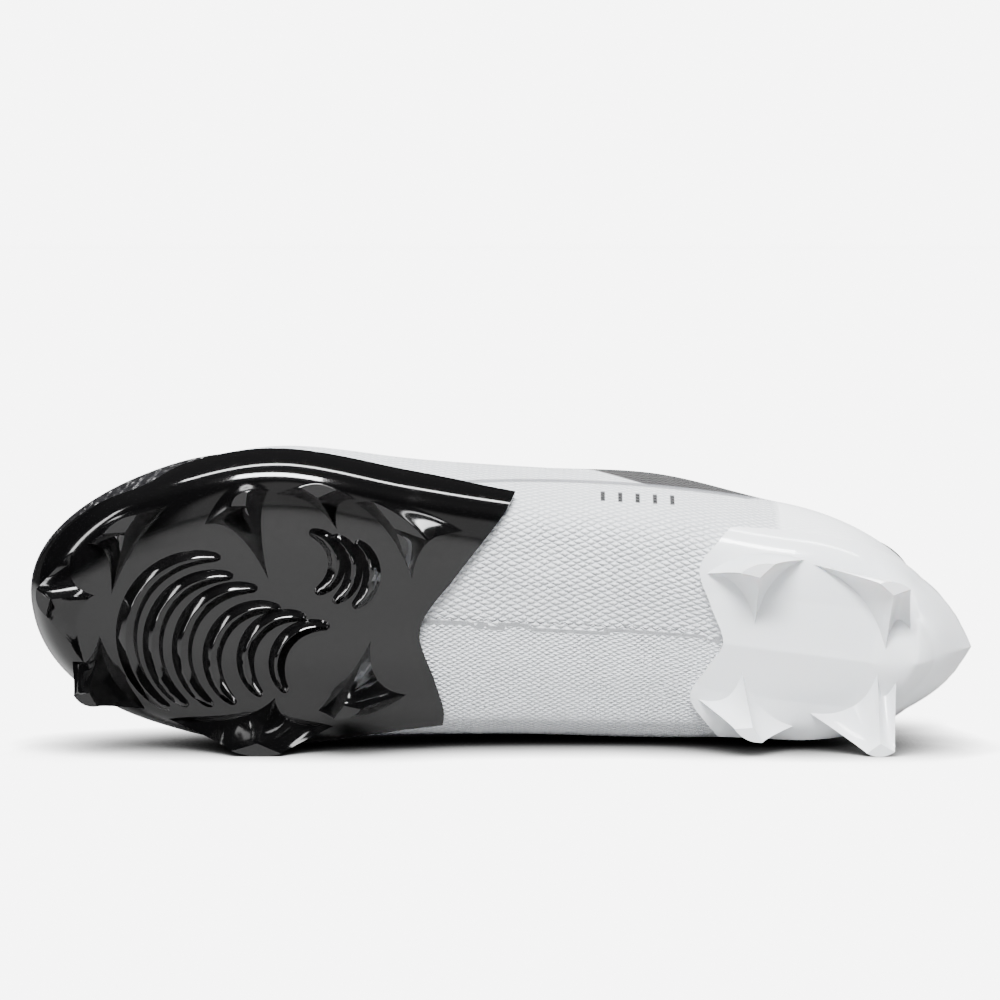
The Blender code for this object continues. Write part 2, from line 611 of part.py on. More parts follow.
def collar_section(around, share):
    """The padded lip of the collar in a plane across the edge. share shrinks it towards its two ends."""
    edge = surface(around, EDGE)
    step = 1 / UPPER_STEPS
    run = (surface(around + step, EDGE) - surface(around - step, EDGE)).normalized()
    up = edge - surface(around, EDGE - COLLAR_DEPTH / 4)
    up = (up - run * up.dot(run)).normalized()
    out = run.cross(up)
    out = out if out.dot(outward(around, EDGE)) > 0 else -out
    inner = -WALL - COLLAR_GAP
    pad = COLLAR_PAD * share
    rise = COLLAR_PROUD * share
    lip = [edge + up * (COLLAR_SEAT + rise * a) + out * (inner + pad * b) for a, b in COLLAR_LIP]
    lining = [skin(around, EDGE - COLLAR_DEPTH * depth, inner - pad * b) for depth, b in COLLAR_LINING]
    return [skin(around, EDGE, inner), edge + up * COLLAR_SEAT + out * inner, *lip, *lining]


def make_collar():
    """Soft padding round the ankle: a lining inside the edge and a rounded lip above it."""
    built = bmesh.new()
    loops = []
    for i in range(-COLLAR_REACH, COLLAR_REACH + 1):
        near = (1 - abs(i) / COLLAR_REACH) / 2
        share = COLLAR_END + (1 - COLLAR_END) * min(1.0, near / COLLAR_TAPER) ** 0.7
        loops.append([built.verts.new(p) for p in collar_section(-i * 2 / UPPER_STEPS, share)])
    tube_faces(built, loops)
    collar = node("collar", built, material("black_knit", (0.025, 0.025, 0.028), 0.9))
    collar.modifiers.new("triangles", "TRIANGULATE")
    return collar


def tongue_row(around, raised, narrow):
    """Points across the tongue, from under the outer edge of the throat to under the inner edge."""
    inner = -WALL - GAP
    sides = {side: [skin(side * around, EDGE - depth, inner) for depth in TONGUE_TUCK] for side in (1, -1)}
    one, two = sides[1][-1], sides[-1][-1]
    shares = [k / TONGUE_ACROSS for k in range(1, TONGUE_ACROSS)]
    middle = [one.lerp(two, k) + Vector((0, 0, TONGUE_CROWN * (1 - (2 * k - 1) ** 2))) for k in shares]
    points = sides[1] + middle + list(reversed(sides[-1]))
    centre = (one.y + two.y) / 2
    return [Vector((p.x, centre + (p.y - centre) * narrow, p.z)) + raised for p in points]


def make_tongue():
    """A curved tongue under the throat that rises above it in front of the ankle."""
    built = bmesh.new()
    free = around_at(TONGUE_FREE, EDGE, 1)
    rows = []
    for i in range(TONGUE_STEPS + 1):
        rows.append(tongue_row(TONGUE_LOW + (free - TONGUE_LOW) * i / TONGUE_STEPS, Vector(), 1.0))
    for back, up, width in TONGUE_TIP:
        rows.append(tongue_row(free, Vector((-back, 0, up)) * TONGUE_RISE, width))
    lines = [[built.verts.new(p) for p in row] for row in rows]
    grid_faces(built, lines, False)
    bmesh.ops.recalc_face_normals(built, faces=built.faces)
    if sum(face.normal.z for face in built.faces) < 0:
        bmesh.ops.reverse_faces(built, faces=built.faces)
    tongue = node("tongue", built, material("black_tongue", (0.03, 0.03, 0.033), 0.9))
    thicken(tongue, TONGUE, -1)
    return tongue


def lace_strip(start, end, lift, width):
    """A flat strip of lace from over one eyelet, across the tongue, to over another, with square ends."""
    strip = bmesh.new()
    a, b = (skin(around, EYELET_LEVEL, GAP + LACE_CLEAR + lift) for around in (start, end))
    upright = (outward(start, EYELET_LEVEL) + outward(end, EYELET_LEVEL)).normalized()
    run = (b - a).normalized()
    side = run.cross(upright).normalized() * width / 2
    loops = []
    for k in range(LACE_STEPS + 1):
        t = k / LACE_STEPS
        point = a.lerp(b, t) + upright * (LACE_CROWN * math.sin(math.pi * t))
        thick = upright * LACE_THICK
        loops.append([strip.verts.new(p) for p in (point - side, point + side, point + side + thick,
                                                   point - side + thick)])
    tube_faces(strip, loops)
    return strip


def make_laces():
    """The lace's crossings over the tongue, joined where they cross. Its ends stop at the top eyelets."""
    places = eyelet_places()
    over, under = (LACE_THICK / 2, LACE_WIDTH * LACE_OVER), (0.0, LACE_WIDTH)
    first = places[0] + LACE_FIRST
    runs = [(first, -first, LACE_THICK / 4, LACE_WIDTH)]
    for low, high in zip(places, places[1:]):
        runs += [(low, -high, *under), (high, -low, *over)]
    strips = [closed_helper(f"lace_run_{i}", lace_strip(*run)) for i, run in enumerate(runs)]
    laces = bpy.data.objects.new("laces", strips[0].data)
    laces.data.materials.append(material("white_lace", (0.80, 0.80, 0.80), 0.9))
    for strip in strips[1:]:
        combine(laces, strip, "UNION")
    bpy.data.objects.remove(strips[0])
    return laces


def weigh(objects):
    """Every corner of the finished pieces, and their centre of gravity if all weigh the same for their size."""
    bpy.context.view_layer.update()
    graph = bpy.context.evaluated_depsgraph_get()
    found = []
    volume = 0.0
    moment = Vector()
    for obj in objects:
        shape = obj.evaluated_get(graph)
        mesh = shape.to_mesh()
        mesh.calc_loop_triangles()
        points = [shape.matrix_world @ v.co for v in mesh.vertices]
        for triangle in mesh.loop_triangles:
            a, b, c = (points[k] for k in triangle.vertices)
            wedge = a.dot(b.cross(c)) / 6
            volume += wedge
            moment += (a + b + c) * (wedge / 4)
        found += points
        shape.to_mesh_clear()
    return found, moment / volume


def lying_turn(points, centre):
    """The turn that lays the shoe on its inner side, on the face of its hull that it rests on."""
    hull = bmesh.new()
    for point in points:
        hull.verts.new(point)
    bmesh.ops.convex_hull(hull, input=hull.verts)
    best, down = -2.0, Vector((0, -1, 0))
    for face in hull.faces:
        normal = face.normal
        if normal.dot(face.calc_center_median() - centre) < 0:
            normal = -normal
        if -normal.y <= best:
            continue
        foot = centre + normal * normal.dot(face.verts[0].co - centre)
        corners = [v.co for v in face.verts]
        turns = [normal.dot((b - a).cross(foot - a)) for a, b in zip(corners, corners[1:] + corners[:1])]
        if all(t >= 0 for t in turns) or all(t <= 0 for t in turns):
            best, down = -normal.y, normal.copy()
    hull.free()
    turned = Matrix(((-1, 0, 0), (0, 0, 1), (0, 1, 0))).to_4x4()
    flat = (turned.to_3x3() @ down).rotation_difference(Vector((0, 0, -1))).to_matrix().to_4x4()
    return flat @ turned


for old in list(bpy.data.objects):
    bpy.data.objects.remove(old)
scene_collection = bpy.context.scene.collection
helpers = bpy.data.collections.new("helpers")
cleat = bpy.data.collections.new("cleat")
scene_collection.children.link(helpers)
scene_collection.children.link(cleat)
helpers.hide_render = True

core = foot_core()
pieces = [make_upper(), make_forefoot_plate(), make_heel_plate(), make_toe_guard(), make_insole(), make_collar(),
          make_tongue(), make_laces()]
for piece in pieces:
    cleat.objects.link(piece)
    piece.data.shade_smooth()
    piece.data.set_sharp_from_angle(angle=SHARP_FROM)

# Everything hangs on one empty, which lays the shoe down and puts the middle of its box over the origin.
floor_place = bpy.data.objects.new("floor_place", None)
scene_collection.objects.link(floor_place)
for piece in list(cleat.objects) + list(helpers.objects):
    piece.parent = floor_place
corners, balance = weigh(pieces)
turn = lying_turn(corners, balance)
laid = [turn @ point for point in corners]
low = Vector(min(point[k] for point in laid) for k in range(3))
high = Vector(max(point[k] for point in laid) for k in range(3))
floor_place.matrix_world = Matrix.Translation((-(low.x + high.x) / 2, -(low.y + high.y) / 2, -low.z)) @ turn
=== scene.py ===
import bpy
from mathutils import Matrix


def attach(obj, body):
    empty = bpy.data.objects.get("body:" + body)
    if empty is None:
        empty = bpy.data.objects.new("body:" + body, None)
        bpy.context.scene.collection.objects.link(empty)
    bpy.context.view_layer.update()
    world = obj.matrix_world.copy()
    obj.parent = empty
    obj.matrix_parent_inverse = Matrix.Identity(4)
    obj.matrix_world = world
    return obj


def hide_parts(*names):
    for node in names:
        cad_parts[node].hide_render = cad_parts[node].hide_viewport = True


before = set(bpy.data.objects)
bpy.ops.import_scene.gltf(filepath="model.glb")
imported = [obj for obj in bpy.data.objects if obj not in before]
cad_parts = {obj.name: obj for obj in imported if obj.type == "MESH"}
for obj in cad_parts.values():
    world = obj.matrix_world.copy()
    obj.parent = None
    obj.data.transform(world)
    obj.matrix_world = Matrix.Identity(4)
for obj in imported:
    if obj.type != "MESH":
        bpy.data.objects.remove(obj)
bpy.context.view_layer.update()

import math

import bmesh
import bpy
import numpy as np
from mathutils import Matrix, Vector
from mathutils.kdtree import KDTree

# the shoe is shaped standing, toe towards +X and outer side towards +Y, then laid down with this turn and shift
layDown = np.array([
    [-0.998409, 0.05631, 0.002865, 0.14882],
    [-0.002865, -0.101402, 0.994841, -0.052861],
    [0.05631, 0.993251, 0.101402, 0.028521],
])

shoe = {
    "length": 0.298, "ballWidth": 0.0935, "instep": 0.080, "toeSpring": 0.010, "studHeight": 0.011,
    "plate": 0.0025, "wall": 0.0020, "gap": 0.0003, "wallLean": 0.20, "featherIn": 0.0053,
    "featherUp": 0.0030, "wrapUp": 0.0100, "treadShare": 0.60,
}
sectionNames = ("along", "rise", "sideOut", "sideIn", "sideUp", "quarterOut", "quarterIn", "quarterUp",
                "shoulderOut", "shoulderIn", "shoulderUp")
# shares: places of the length, widths of the ball's, heights of the instep, rise of the toe spring
sectionRows = np.array([
    (0.035, 0.25, 0.390, 0.366, 0.30, 0.363, 0.350, 0.53, 0.310, 0.300, 0.72),
    (0.120, 0.20, 0.394, 0.370, 0.33, 0.364, 0.352, 0.53, 0.308, 0.298, 0.63),
    (0.210, 0.25, 0.412, 0.390, 0.42, 0.390, 0.376, 0.58, 0.360, 0.345, 0.63),
    (0.340, 0.60, 0.468, 0.434, 0.50, 0.450, 0.424, 0.66, 0.424, 0.388, 0.75),
    (0.470, 0.62, 0.474, 0.440, 0.46, 0.438, 0.418, 0.66, 0.345, 0.320, 0.82),
    (0.600, 0.25, 0.504, 0.440, 0.36, 0.445, 0.408, 0.57, 0.320, 0.303, 0.74),
    (0.725, 0.00, 0.545, 0.452, 0.26, 0.480, 0.415, 0.48, 0.358, 0.318, 0.64),
    (0.860, 0.30, 0.508, 0.457, 0.22, 0.452, 0.415, 0.40, 0.355, 0.330, 0.51),
    (1.000, 1.25, 0.465, 0.515, 0.185, 0.415, 0.465, 0.275, 0.350, 0.385, 0.36),
])
# along, then half widths out and in as shares of the ball's width, then the height as a share of the instep
edgeRows = np.array([
    (0.044, 0.270, 0.262, 0.90), (0.124, 0.274, 0.264, 0.72), (0.208, 0.334, 0.314, 0.67),
    (0.252, 0.362, 0.334, 0.71), (0.339, 0.396, 0.354, 0.82), (0.420, 0.310, 0.284, 0.94),
    (0.503, 0.182, 0.176, 0.91), (0.600, 0.142, 0.142, 0.83), (0.688, 0.120, 0.120, 0.77),
])
# each ring's ends at heel and toe, and where it starts to round there, as shares of the length
ringEnds = (
    ("keel", 0.150, 0.870, 0.200, 0.725), ("tread", 0.088, 0.945, 0.200, 0.725),
    ("feather", 0.055, 0.974, 0.200, 0.725), ("wrap", 0.044, 0.989, 0.200, 0.725),
    ("side", 0.036, 0.997, 0.200, 0.725), ("quarter", 0.042, 0.968, 0.200, 0.715),
    ("shoulder", 0.047, 0.890, 0.180, 0.700), ("edge", 0.044, 0.688, 0.150, 0.652),
)
topRing = 7
sideRing = 4


def readColumn(rows, column, at):
    # a smooth curve through one column of a table
    xs, ys = rows[:, 0], rows[:, column]
    at = np.clip(np.asarray(at, float), xs[0], xs[-1])
    i = np.clip(np.searchsorted(xs, at, side="right") - 1, 0, len(xs) - 2)
    before, after = np.maximum(np.arange(len(xs)) - 1, 0), np.minimum(np.arange(len(xs)) + 1, len(xs) - 1)
    slope = (ys[after] - ys[before]) / (xs[after] - xs[before])
    h = xs[i + 1] - xs[i]
    t = (at - xs[i]) / h
    return ((1 + 2 * t) * (1 - t) ** 2 * ys[i] + t * (1 - t) ** 2 * h * slope[i]
            + t * t * (3 - 2 * t) * ys[i + 1] + t * t * (t - 1) * h * slope[i + 1])


def section(name, at):
    return readColumn(sectionRows, sectionNames.index(name), at)


def footBottom(at):
    return shoe["studHeight"] + shoe["plate"] + shoe["gap"] + shoe["toeSpring"] * section("rise", at)


def ringPoint(number, around):
    name, heel, toe, heelRound, toeRound = ringEnds[number]
    at = heel + (toe - heel) * (1 - np.cos(np.pi * around)) / 2
    outer = around >= 0
    if name == "edge":
        half = np.where(outer, readColumn(edgeRows, 1, at), readColumn(edgeRows, 2, at)) * shoe["ballWidth"]
        up = readColumn(edgeRows, 3, at) * shoe["instep"]
    elif name in ("side", "quarter", "shoulder"):
        half = np.where(outer, section(name + "Out", at), section(name + "In", at)) * shoe["ballWidth"]
        up = section(name + "Up", at) * shoe["instep"]
    else:
        half = np.where(outer, section("sideOut", at), section("sideIn", at)) * shoe["ballWidth"]
        half = half - shoe["wallLean"] * np.maximum(shoe["instep"] * section("sideUp", at) - shoe["wrapUp"], 0)
        half = half - (0 if name == "wrap" else shoe["featherIn"])
        half = half * {"keel": 0.0, "tread": shoe["treadShare"]}.get(name, 1.0)
        up = {"wrap": shoe["wrapUp"], "feather": shoe["featherUp"]}.get(name, 0.0)
    turn = np.maximum(np.maximum((heelRound - at) / (heelRound - heel), (at - toeRound) / (toe - toeRound)), 0)
    half = half * np.sqrt(np.maximum(1 - turn * turn, 0))
    return np.stack([at * shoe["length"], np.where(outer, half, -half), footBottom(at) + up], axis=-1)


def surfaceAt(around, level):
    # the outside of the upper: around is 0 at the heel and 1 at the toe, level counts the rings up from the keel
    around, level = np.broadcast_arrays(np.asarray(around, float), np.asarray(level, float))
    around, level = around.copy(), level.copy()
    flip = level < 0
    around[flip], level[flip] = -around[flip], -level[flip]
    around[around > 1] -= 2
    around[around < -1] += 2
    rings = np.stack([ringPoint(k, around) for k in range(topRing + 1)])
    mirrored = ringPoint(1, -around)
    mirrored[..., 0] = rings[1][..., 0]
    past = rings[topRing] * 2 - rings[topRing - 1]
    stack = np.concatenate([mirrored[None], rings, past[None]])
    i = np.clip(level.astype(int), 0, topRing - 1)

    def pick(k):
        return np.take_along_axis(stack, (i + k)[None, ..., None], axis=0)[0]

    points = [pick(k) for k in range(4)]
    knots = [np.zeros(level.shape)]
    for a, b in zip(points, points[1:]):
        knots.append(knots[-1] + np.maximum(np.sqrt(np.linalg.norm(b - a, axis=-1)), 1e-5))
    t = knots[1] + (knots[2] - knots[1]) * np.clip(level - i, 0, 1)

    def blend(p, q, a, b):
        share = ((t - knots[p]) / (knots[q] - knots[p]))[..., None]
        return a * (1 - share) + b * share

    first = [blend(k, k + 1, points[k], points[k + 1]) for k in range(3)]
    second = [blend(k, k + 2, first[k], first[k + 1]) for k in range(2)]
    found = blend(1, 2, *second)
    over = np.maximum(level - topRing, 0)[..., None]
    return found + (points[2] - points[1]) * over


def unit(vectors):
    return vectors / np.maximum(np.linalg.norm(vectors, axis=-1, keepdims=True), 1e-12)


def outwardAt(around, level):
    around, level = np.broadcast_arrays(np.asarray(around, float), np.asarray(level, float))
    step = 0.004
    held = np.copysign(np.clip(np.abs(around), 0.03, 0.97), around)
    around = np.where(level < 0.6, held, around)
    run = surfaceAt(around + step, level) - surfaceAt(around - step, level)
    across = surfaceAt(around, np.minimum(level + step * 5, topRing + 0.5)) - surfaceAt(around, level - step * 5)
    return -unit(np.cross(run, across))


def skinAt(around, level, out=0.0):
    return surfaceAt(around, level) + outwardAt(around, level) * out


def aroundAt(at, level, side):
    low, high = np.zeros(np.shape(at)), np.ones(np.shape(at))
    for _ in range(30):
        middle = (low + high) / 2
        less = surfaceAt(side * middle, level)[..., 0] < np.asarray(at) * shoe["length"]
        low, high = np.where(less, middle, low), np.where(less, high, middle)
    return side * low


def laid(points):
    return points @ layDown[:, :3].T + layDown[:, 3]


# shader helper
class Wire:
    # one socket, so that shader maths reads as plain expressions
    def __init__(self, paint, socket):
        self.paint, self.socket = paint, socket

    def math(self, operation, *others):
        return self.paint.node("ShaderNodeMath", {"operation": operation}, [self, *others])

    def __add__(self, other):
        return self.math("ADD", other)

    def __sub__(self, other):
        return self.math("SUBTRACT", other)

    def __mul__(self, other):
        return self.math("MULTIPLY", other)

    __radd__, __rmul__ = __add__, __mul__

    def __rsub__(self, other):
        return self.paint.node("ShaderNodeMath", {"operation": "SUBTRACT"}, [other, self])

    def above(self, limit, soft):
        return self.paint.node("ShaderNodeMapRange", {"interpolation_type": "SMOOTHSTEP"},
                               [self, limit - soft, limit + soft, 0.0, 1.0])

    def below(self, limit, soft):
        return 1 - self.above(limit, soft)

    def near(self, place, half, soft):
        return (self - place).math("ABSOLUTE").below(half, soft)

    def lift(self, other):
        return self.math("MAXIMUM", other)


class Paint:
    # a material with its node tree
    def __init__(self, name):
        self.material = bpy.data.materials.new(name)
        self.material.use_nodes = True
        self.tree = self.material.node_tree
        self.shader = self.tree.nodes["Principled BSDF"]

    def node(self, kind, settings=(), values=(), output=0):
        made = self.tree.nodes.new(kind)
        for key, value in dict(settings).items():
            setattr(made, key, value)
        pairs = values.items() if isinstance(values, dict) else enumerate(values)
        for key, value in pairs:
            if isinstance(value, Wire):
                self.tree.links.new(value.socket, made.inputs[key])
            elif value is not None:
                made.inputs[key].default_value = value
        return Wire(self, made.outputs[output])

    def mask(self, name):
        return self.node("ShaderNodeAttribute", {"attribute_name": name}, (), "Fac")

    def uv(self, name):
        split = self.node("ShaderNodeSeparateXYZ", (), [self.node("ShaderNodeUVMap", {"uv_map": name})])
        return split, Wire(self, split.socket.node.outputs[1])

    def place(self):
        return self.node("ShaderNodeTexCoord", (), (), "Object")

    def noise(self, scale, detail=3.0, rough=0.5):
        return self.node("ShaderNodeTexNoise", (), {
            "Vector": self.place(), "Scale": scale, "Detail": detail, "Roughness": rough})

    def tint(self, share, first, second):
        made = self.tree.nodes.new("ShaderNodeMix")
        made.data_type = "RGBA"
        for key, value in ((0, share), (6, first), (7, second)):
            if isinstance(value, Wire):
                self.tree.links.new(value.socket, made.inputs[key])
            else:
                made.inputs[key].default_value = value if key == 0 else (*value, 1.0)
        return Wire(self, made.outputs[2])

    def bump(self, height, strength, distance):
        return self.node("ShaderNodeBump", (), {"Strength": strength, "Distance": distance, "Height": height})

    def finish(self, **values):
        for key, value in values.items():
            socket = self.shader.inputs[{
                "colour": "Base Color", "rough": "Roughness", "normal": "Normal", "coat": "Coat Weight",
                "coatRough": "Coat Roughness", "sheen": "Sheen Weight", "spec": "Specular IOR Level",
                "under": "Subsurface Weight"}[key]]
            if isinstance(value, Wire):
                self.tree.links.new(value.socket, socket)
            else:
                socket.default_value = (*value, 1.0) if key == "colour" else value
        return self.material


class Sky(Paint):
    # the world's node tree, built by the same methods
    def __init__(self, name):
        self.world = bpy.data.worlds.new(name)
        self.world.use_nodes = True
        self.tree = self.world.node_tree
        self.shader = self.tree.nodes["Background"]


# mesh helpers
heart = (0.155, 0.0, 0.05)


def newMesh():
    # masks and maps are added while the mesh is empty, because adding one later drops the points already held
    built = bmesh.new()
    for name in ("level", "lateral"):
        built.verts.layers.float.new(name)
    for name in ("skin", "plan"):
        built.loops.layers.uv.new(name)
    return built


def gridPiece(built, columns, rows, shape):
    # a grid whose points are moved to shape(u, v); shape also gives masks and map places
    made = bmesh.ops.create_grid(built, x_segments=columns, y_segments=rows, size=0.5)["verts"]
    u = np.array([v.co.x + 0.5 for v in made])
    v = np.array([v.co.y + 0.5 for v in made])
    points, masks, maps = shape(u, v)
    for vert, point in zip(made, points):
        vert.co = point
    for name, values in masks.items():
        layer = built.verts.layers.float[name]
        for vert, value in zip(made, values):
            vert[layer] = float(value)
    layers = [(built.loops.layers.uv[name], values) for name, values in maps.items()]
    order = {vert: k for k, vert in enumerate(made)}
    for face in {face for vert in made for face in vert.link_faces}:
        for loop in face.loops:
            k = order[loop.vert]
            for layer, values in layers:
                loop[layer].uv = values[k]
    return made


def gridOf(form, shape):
    built = newMesh()
    gridPiece(built, form["columns"], form["rows"], shape)
    return built


def fillHoles(built):
    bmesh.ops.holes_fill(built, edges=[edge for edge in built.edges if edge.is_boundary], sides=0)


def keepPiece(name, built, material, replaced, merge=2e-5, closed=False, crisp=38, inside=heart):
    # closes doubles, faces the mesh outwards, lays it down and gives it to the frame
    bmesh.ops.remove_doubles(built, verts=built.verts, dist=merge)
    bmesh.ops.dissolve_degenerate(built, edges=built.edges, dist=1e-7)
    if closed:
        bmesh.ops.recalc_face_normals(built, faces=built.faces)
    else:
        centre = Vector(inside)
        facing = sum(face.normal.dot(face.calc_center_median() - centre) * face.calc_area() for face in built.faces)
        if facing < 0:
            bmesh.ops.reverse_faces(built, faces=built.faces)
    for vert in built.verts:
        vert.co = laid(np.array(vert.co))
    mesh = bpy.data.meshes.new(name)
    built.to_mesh(mesh)
    built.free()
    mesh.shade_smooth()
    mesh.set_sharp_from_angle(angle=math.radians(crisp))
    piece = bpy.data.objects.new(name, mesh)
    bpy.context.scene.collection.objects.link(piece)
    piece.data.materials.append(material)
    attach(piece, "root")
    if replaced:
        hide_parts(*replaced)
    return piece


def addWall(piece, thickness):
    # the wall grows inwards, without even offsets, which throw spikes at the throat's corners
    wall = piece.modifiers.new("wall", "SOLIDIFY")
    wall.thickness, wall.offset, wall.use_even_offset = thickness, -1, False
    wall.use_quality_normals = True


# camera, floor and light come first, so that every try is seen from the photo's angle
studio = {
    "lens": 150, "sensor": 36, "frameWidth": 0.3153, "lift": 4.2, "aim": (0.0, -0.020, 0.0775), "clipEnd": 20,
    # the floor, with how far it reaches and how it sweeps up behind: depth and height
    "floorHalf": 4, "floorFront": -3, "sweep": ((2.2, 0.0), (2.8, 0.12), (3.2, 0.5), (3.4, 1.2), (3.4, 4.0)),
    # the floor's tone and grain, its glow as the camera sees it, and the reach and gamma of the painted contact shadow
    # in that glow
    "floorTone": 0.30, "floorGrain": 3.0, "floorGlow": 7.0, "contact": 0.03, "contactGamma": 3.2,
    # the room's light low down and overhead, the heights between which it changes, and the card round the camera
    "room": (0.012, 0.10), "ceiling": (0.55, 0.75), "card": (0.90, 0.93), "cardBright": 0.75,
    "lampAim": (0, 0, 0.05),
    # name, place, width and height, watts
    "lamps": (
        ("overheadStrip", (0.0, -0.25, 1.4), (1.8, 0.12), 30), ("keySoftbox", (-0.15, -1.0, 1.15), (0.8, 0.26), 66),
        ("leftStrip", (-1.4, -0.5, 0.55), (0.12, 0.9), 6), ("rightStrip", (1.4, -0.5, 0.55), (0.12, 0.9), 6),
        ("rearSoftbox", (0.3, 1.2, 1.1), (1.2, 0.6), 30),
    ),
}


def addCamera(scene):
    camera = bpy.data.objects.new("camera", bpy.data.cameras.new("camera"))
    camera.data.lens, camera.data.sensor_width = studio["lens"], studio["sensor"]
    camera.data.clip_end = studio["clipEnd"]
    distance = studio["lens"] * studio["frameWidth"] / studio["sensor"]
    lift = math.radians(studio["lift"])
    back = Vector((0, -math.cos(lift), math.sin(lift)))
    camera.location = Vector(studio["aim"]) + back * distance
    camera.rotation_euler = back.to_track_quat("Z", "Y").to_euler()
    scene.collection.objects.link(camera)
    scene.camera = camera
    return back


def floorPaint():
    paint = Paint("paleFloor")
    tones = [(studio["floorTone"] * share,) * 3 for share in (1, 1.01)]
    pale = paint.tint(paint.noise(studio["floorGrain"], 2.0), *tones)
    material = paint.finish(colour=pale, rough=0.7, spec=0.2)
    # the camera sees the sweep glowing evenly, with a painted contact shadow from ambient occlusion only where the shoe
    # nearly touches it
    seen = paint.node("ShaderNodeLightPath")
    shade = paint.node("ShaderNodeAmbientOcclusion", (), {"Distance": studio["contact"]})
    curve = paint.node("ShaderNodeGamma", (), {"Color": shade, "Gamma": studio["contactGamma"]})
    glow = paint.node("ShaderNodeEmission", (), {"Color": curve, "Strength": studio["floorGlow"]})
    surface = next(node for node in paint.tree.nodes if node.type == "OUTPUT_MATERIAL").inputs["Surface"]
    lit = Wire(paint, surface.links[0].from_socket)
    paint.tree.links.new(paint.node("ShaderNodeMixShader", (), [seen, lit, glow]).socket, surface)
    return material


def addFloor(scene):
    built = bmesh.new()
    corners = [built.verts.new((side * studio["floorHalf"], studio["floorFront"], 0)) for side in (-1, 1)]
    edge = built.edges.new(corners)
    for depth, height in studio["sweep"]:
        grown = bmesh.ops.extrude_edge_only(built, edges=[edge])["geom"]
        for vert in (g for g in grown if isinstance(g, bmesh.types.BMVert)):
            vert.co.y, vert.co.z = depth, height
        edge = next(g for g in grown if isinstance(g, bmesh.types.BMEdge))
    mesh = bpy.data.meshes.new("floor")
    built.to_mesh(mesh)
    built.free()
    mesh.shade_smooth()
    mesh.materials.append(floorPaint())
    floor = bpy.data.objects.new("floor", mesh)
    scene.collection.objects.link(floor)


def addRoom(scene, back):
    # a dim room with a pale ceiling and one grey card round the camera, so that gloss has dark and light to show
    sky = Sky("studio")
    direction = sky.node("ShaderNodeTexCoord", (), (), "Generated")
    height = sky.node("ShaderNodeSeparateXYZ", (), [direction], 2)
    facing = sky.node("ShaderNodeVectorMath", {"operation": "DOT_PRODUCT"}, [direction, back], "Value")
    ceiling = sky.node("ShaderNodeMapRange", (), [height, *studio["ceiling"], *studio["room"]])
    card = sky.node("ShaderNodeMapRange", (), [facing, *studio["card"], 0.0, studio["cardBright"]])
    sky.tree.links.new((ceiling + card).socket, sky.shader.inputs["Strength"])
    sky.shader.inputs["Color"].default_value = (1, 1, 1, 1)
    scene.world = sky.world


def addLamps(scene):
    for name, place, size, power in studio["lamps"]:
        light = bpy.data.lights.new(name, "AREA")
        light.shape = "RECTANGLE"
        light.size, light.size_y, light.energy = *size, power
        lamp = bpy.data.objects.new(name, light)
        lamp.location = place
        lamp.rotation_euler = (Vector(place) - Vector(studio["lampAim"])).to_track_quat("Z", "Y").to_euler()
        scene.collection.objects.link(lamp)


def makeStudio():
    scene = bpy.context.scene
    back = addCamera(scene)
    addFloor(scene)
    addRoom(scene, back)
    addLamps(scene)


makeStudio()
print("studio is ready")

# upper
upperLook = {
    "columns": 300, "rows": 110, "diamond": (0.0040, 0.0021), "thread": 0.00055, "bump": (0.85, 0.0011),
    # the knit's white, the painted shade colour for the grooves between its lumps, and black
    "white": (0.88, 0.89, 0.91), "shade": (0.56, 0.59, 0.63), "black": (0.004, 0.004, 0.005),
    "seamGrey": (0.20, 0.21, 0.23), "cloudTone": (0.62, 0.65, 0.70), "filmTone": (0.80, 0.82, 0.84),
    "tackTone": (0.012, 0.012, 0.014), "stitchTone": (0.11, 0.11, 0.12),
    # how far the knit wanders, along and round, from a broad noise and from a fine one
    "sway": (0.0034, 0.0016), "jitter": (0.0016, 0.0007), "innerFiner": 0.45,
    # lengths from the heel and levels up the wall, in metres and rings
    "filmEnd": 0.064, "filmTop": 5.6, "wallTop": 4.35, "blackFrom": 5.15, "blackEnd": 0.150,
    "bandMiddle": 0.104, "bandHalf": 0.035, "bandTaper": 0.22,
    "seamTop": 0.0452, "seamMiddle": 0.117, "seamDrop": 1.1, "seamHalf": 0.0005, "seamReach": (0.118, 0.047),
    "tacks": (0.1190, 0.1135, 0.1080, 0.1025, 0.0970), "tackHeight": 0.0408, "tackHalf": (0.0007, 0.0015),
    "stitchStep": 0.0030, "stitchSwing": 0.0013, "stitchHalf": 0.00020, "stitchReach": (0.1265, 0.046),
    "stitchLean": 0.006,
}
photoLean = math.radians(10)
photoSeat = 0.029


def flatMaps(points, girth):
    # two maps on the skin: length with girth, and length with the height seen from ten degrees off the sole's normal
    seen = points[:, 1] * math.cos(photoLean) + (points[:, 2] - photoSeat) * math.sin(photoLean)
    return {"skin": np.stack([points[:, 0], girth], -1), "plan": np.stack([points[:, 0], seen], -1)}


def upperShape(u, v):
    around, level = -1 + 2 * u, topRing * v
    points = surfaceAt(around, level)
    levels = np.unique(np.round(level, 6))
    columns = np.unique(np.round(around, 6))
    sheet = surfaceAt(columns[:, None], levels[None, :])
    steps = np.linalg.norm(np.diff(sheet, axis=1), axis=-1)
    length = np.concatenate([np.zeros((len(columns), 1)), np.cumsum(steps, axis=1)], 1)
    girth = length[np.searchsorted(columns, np.round(around, 6)), np.searchsorted(levels, np.round(level, 6))]
    girth = girth * np.where(around >= 0, 1, -1)
    masks = {"level": level, "lateral": np.where(around >= 0, 1.0, 0.0)}
    return points, masks, flatMaps(points, girth)


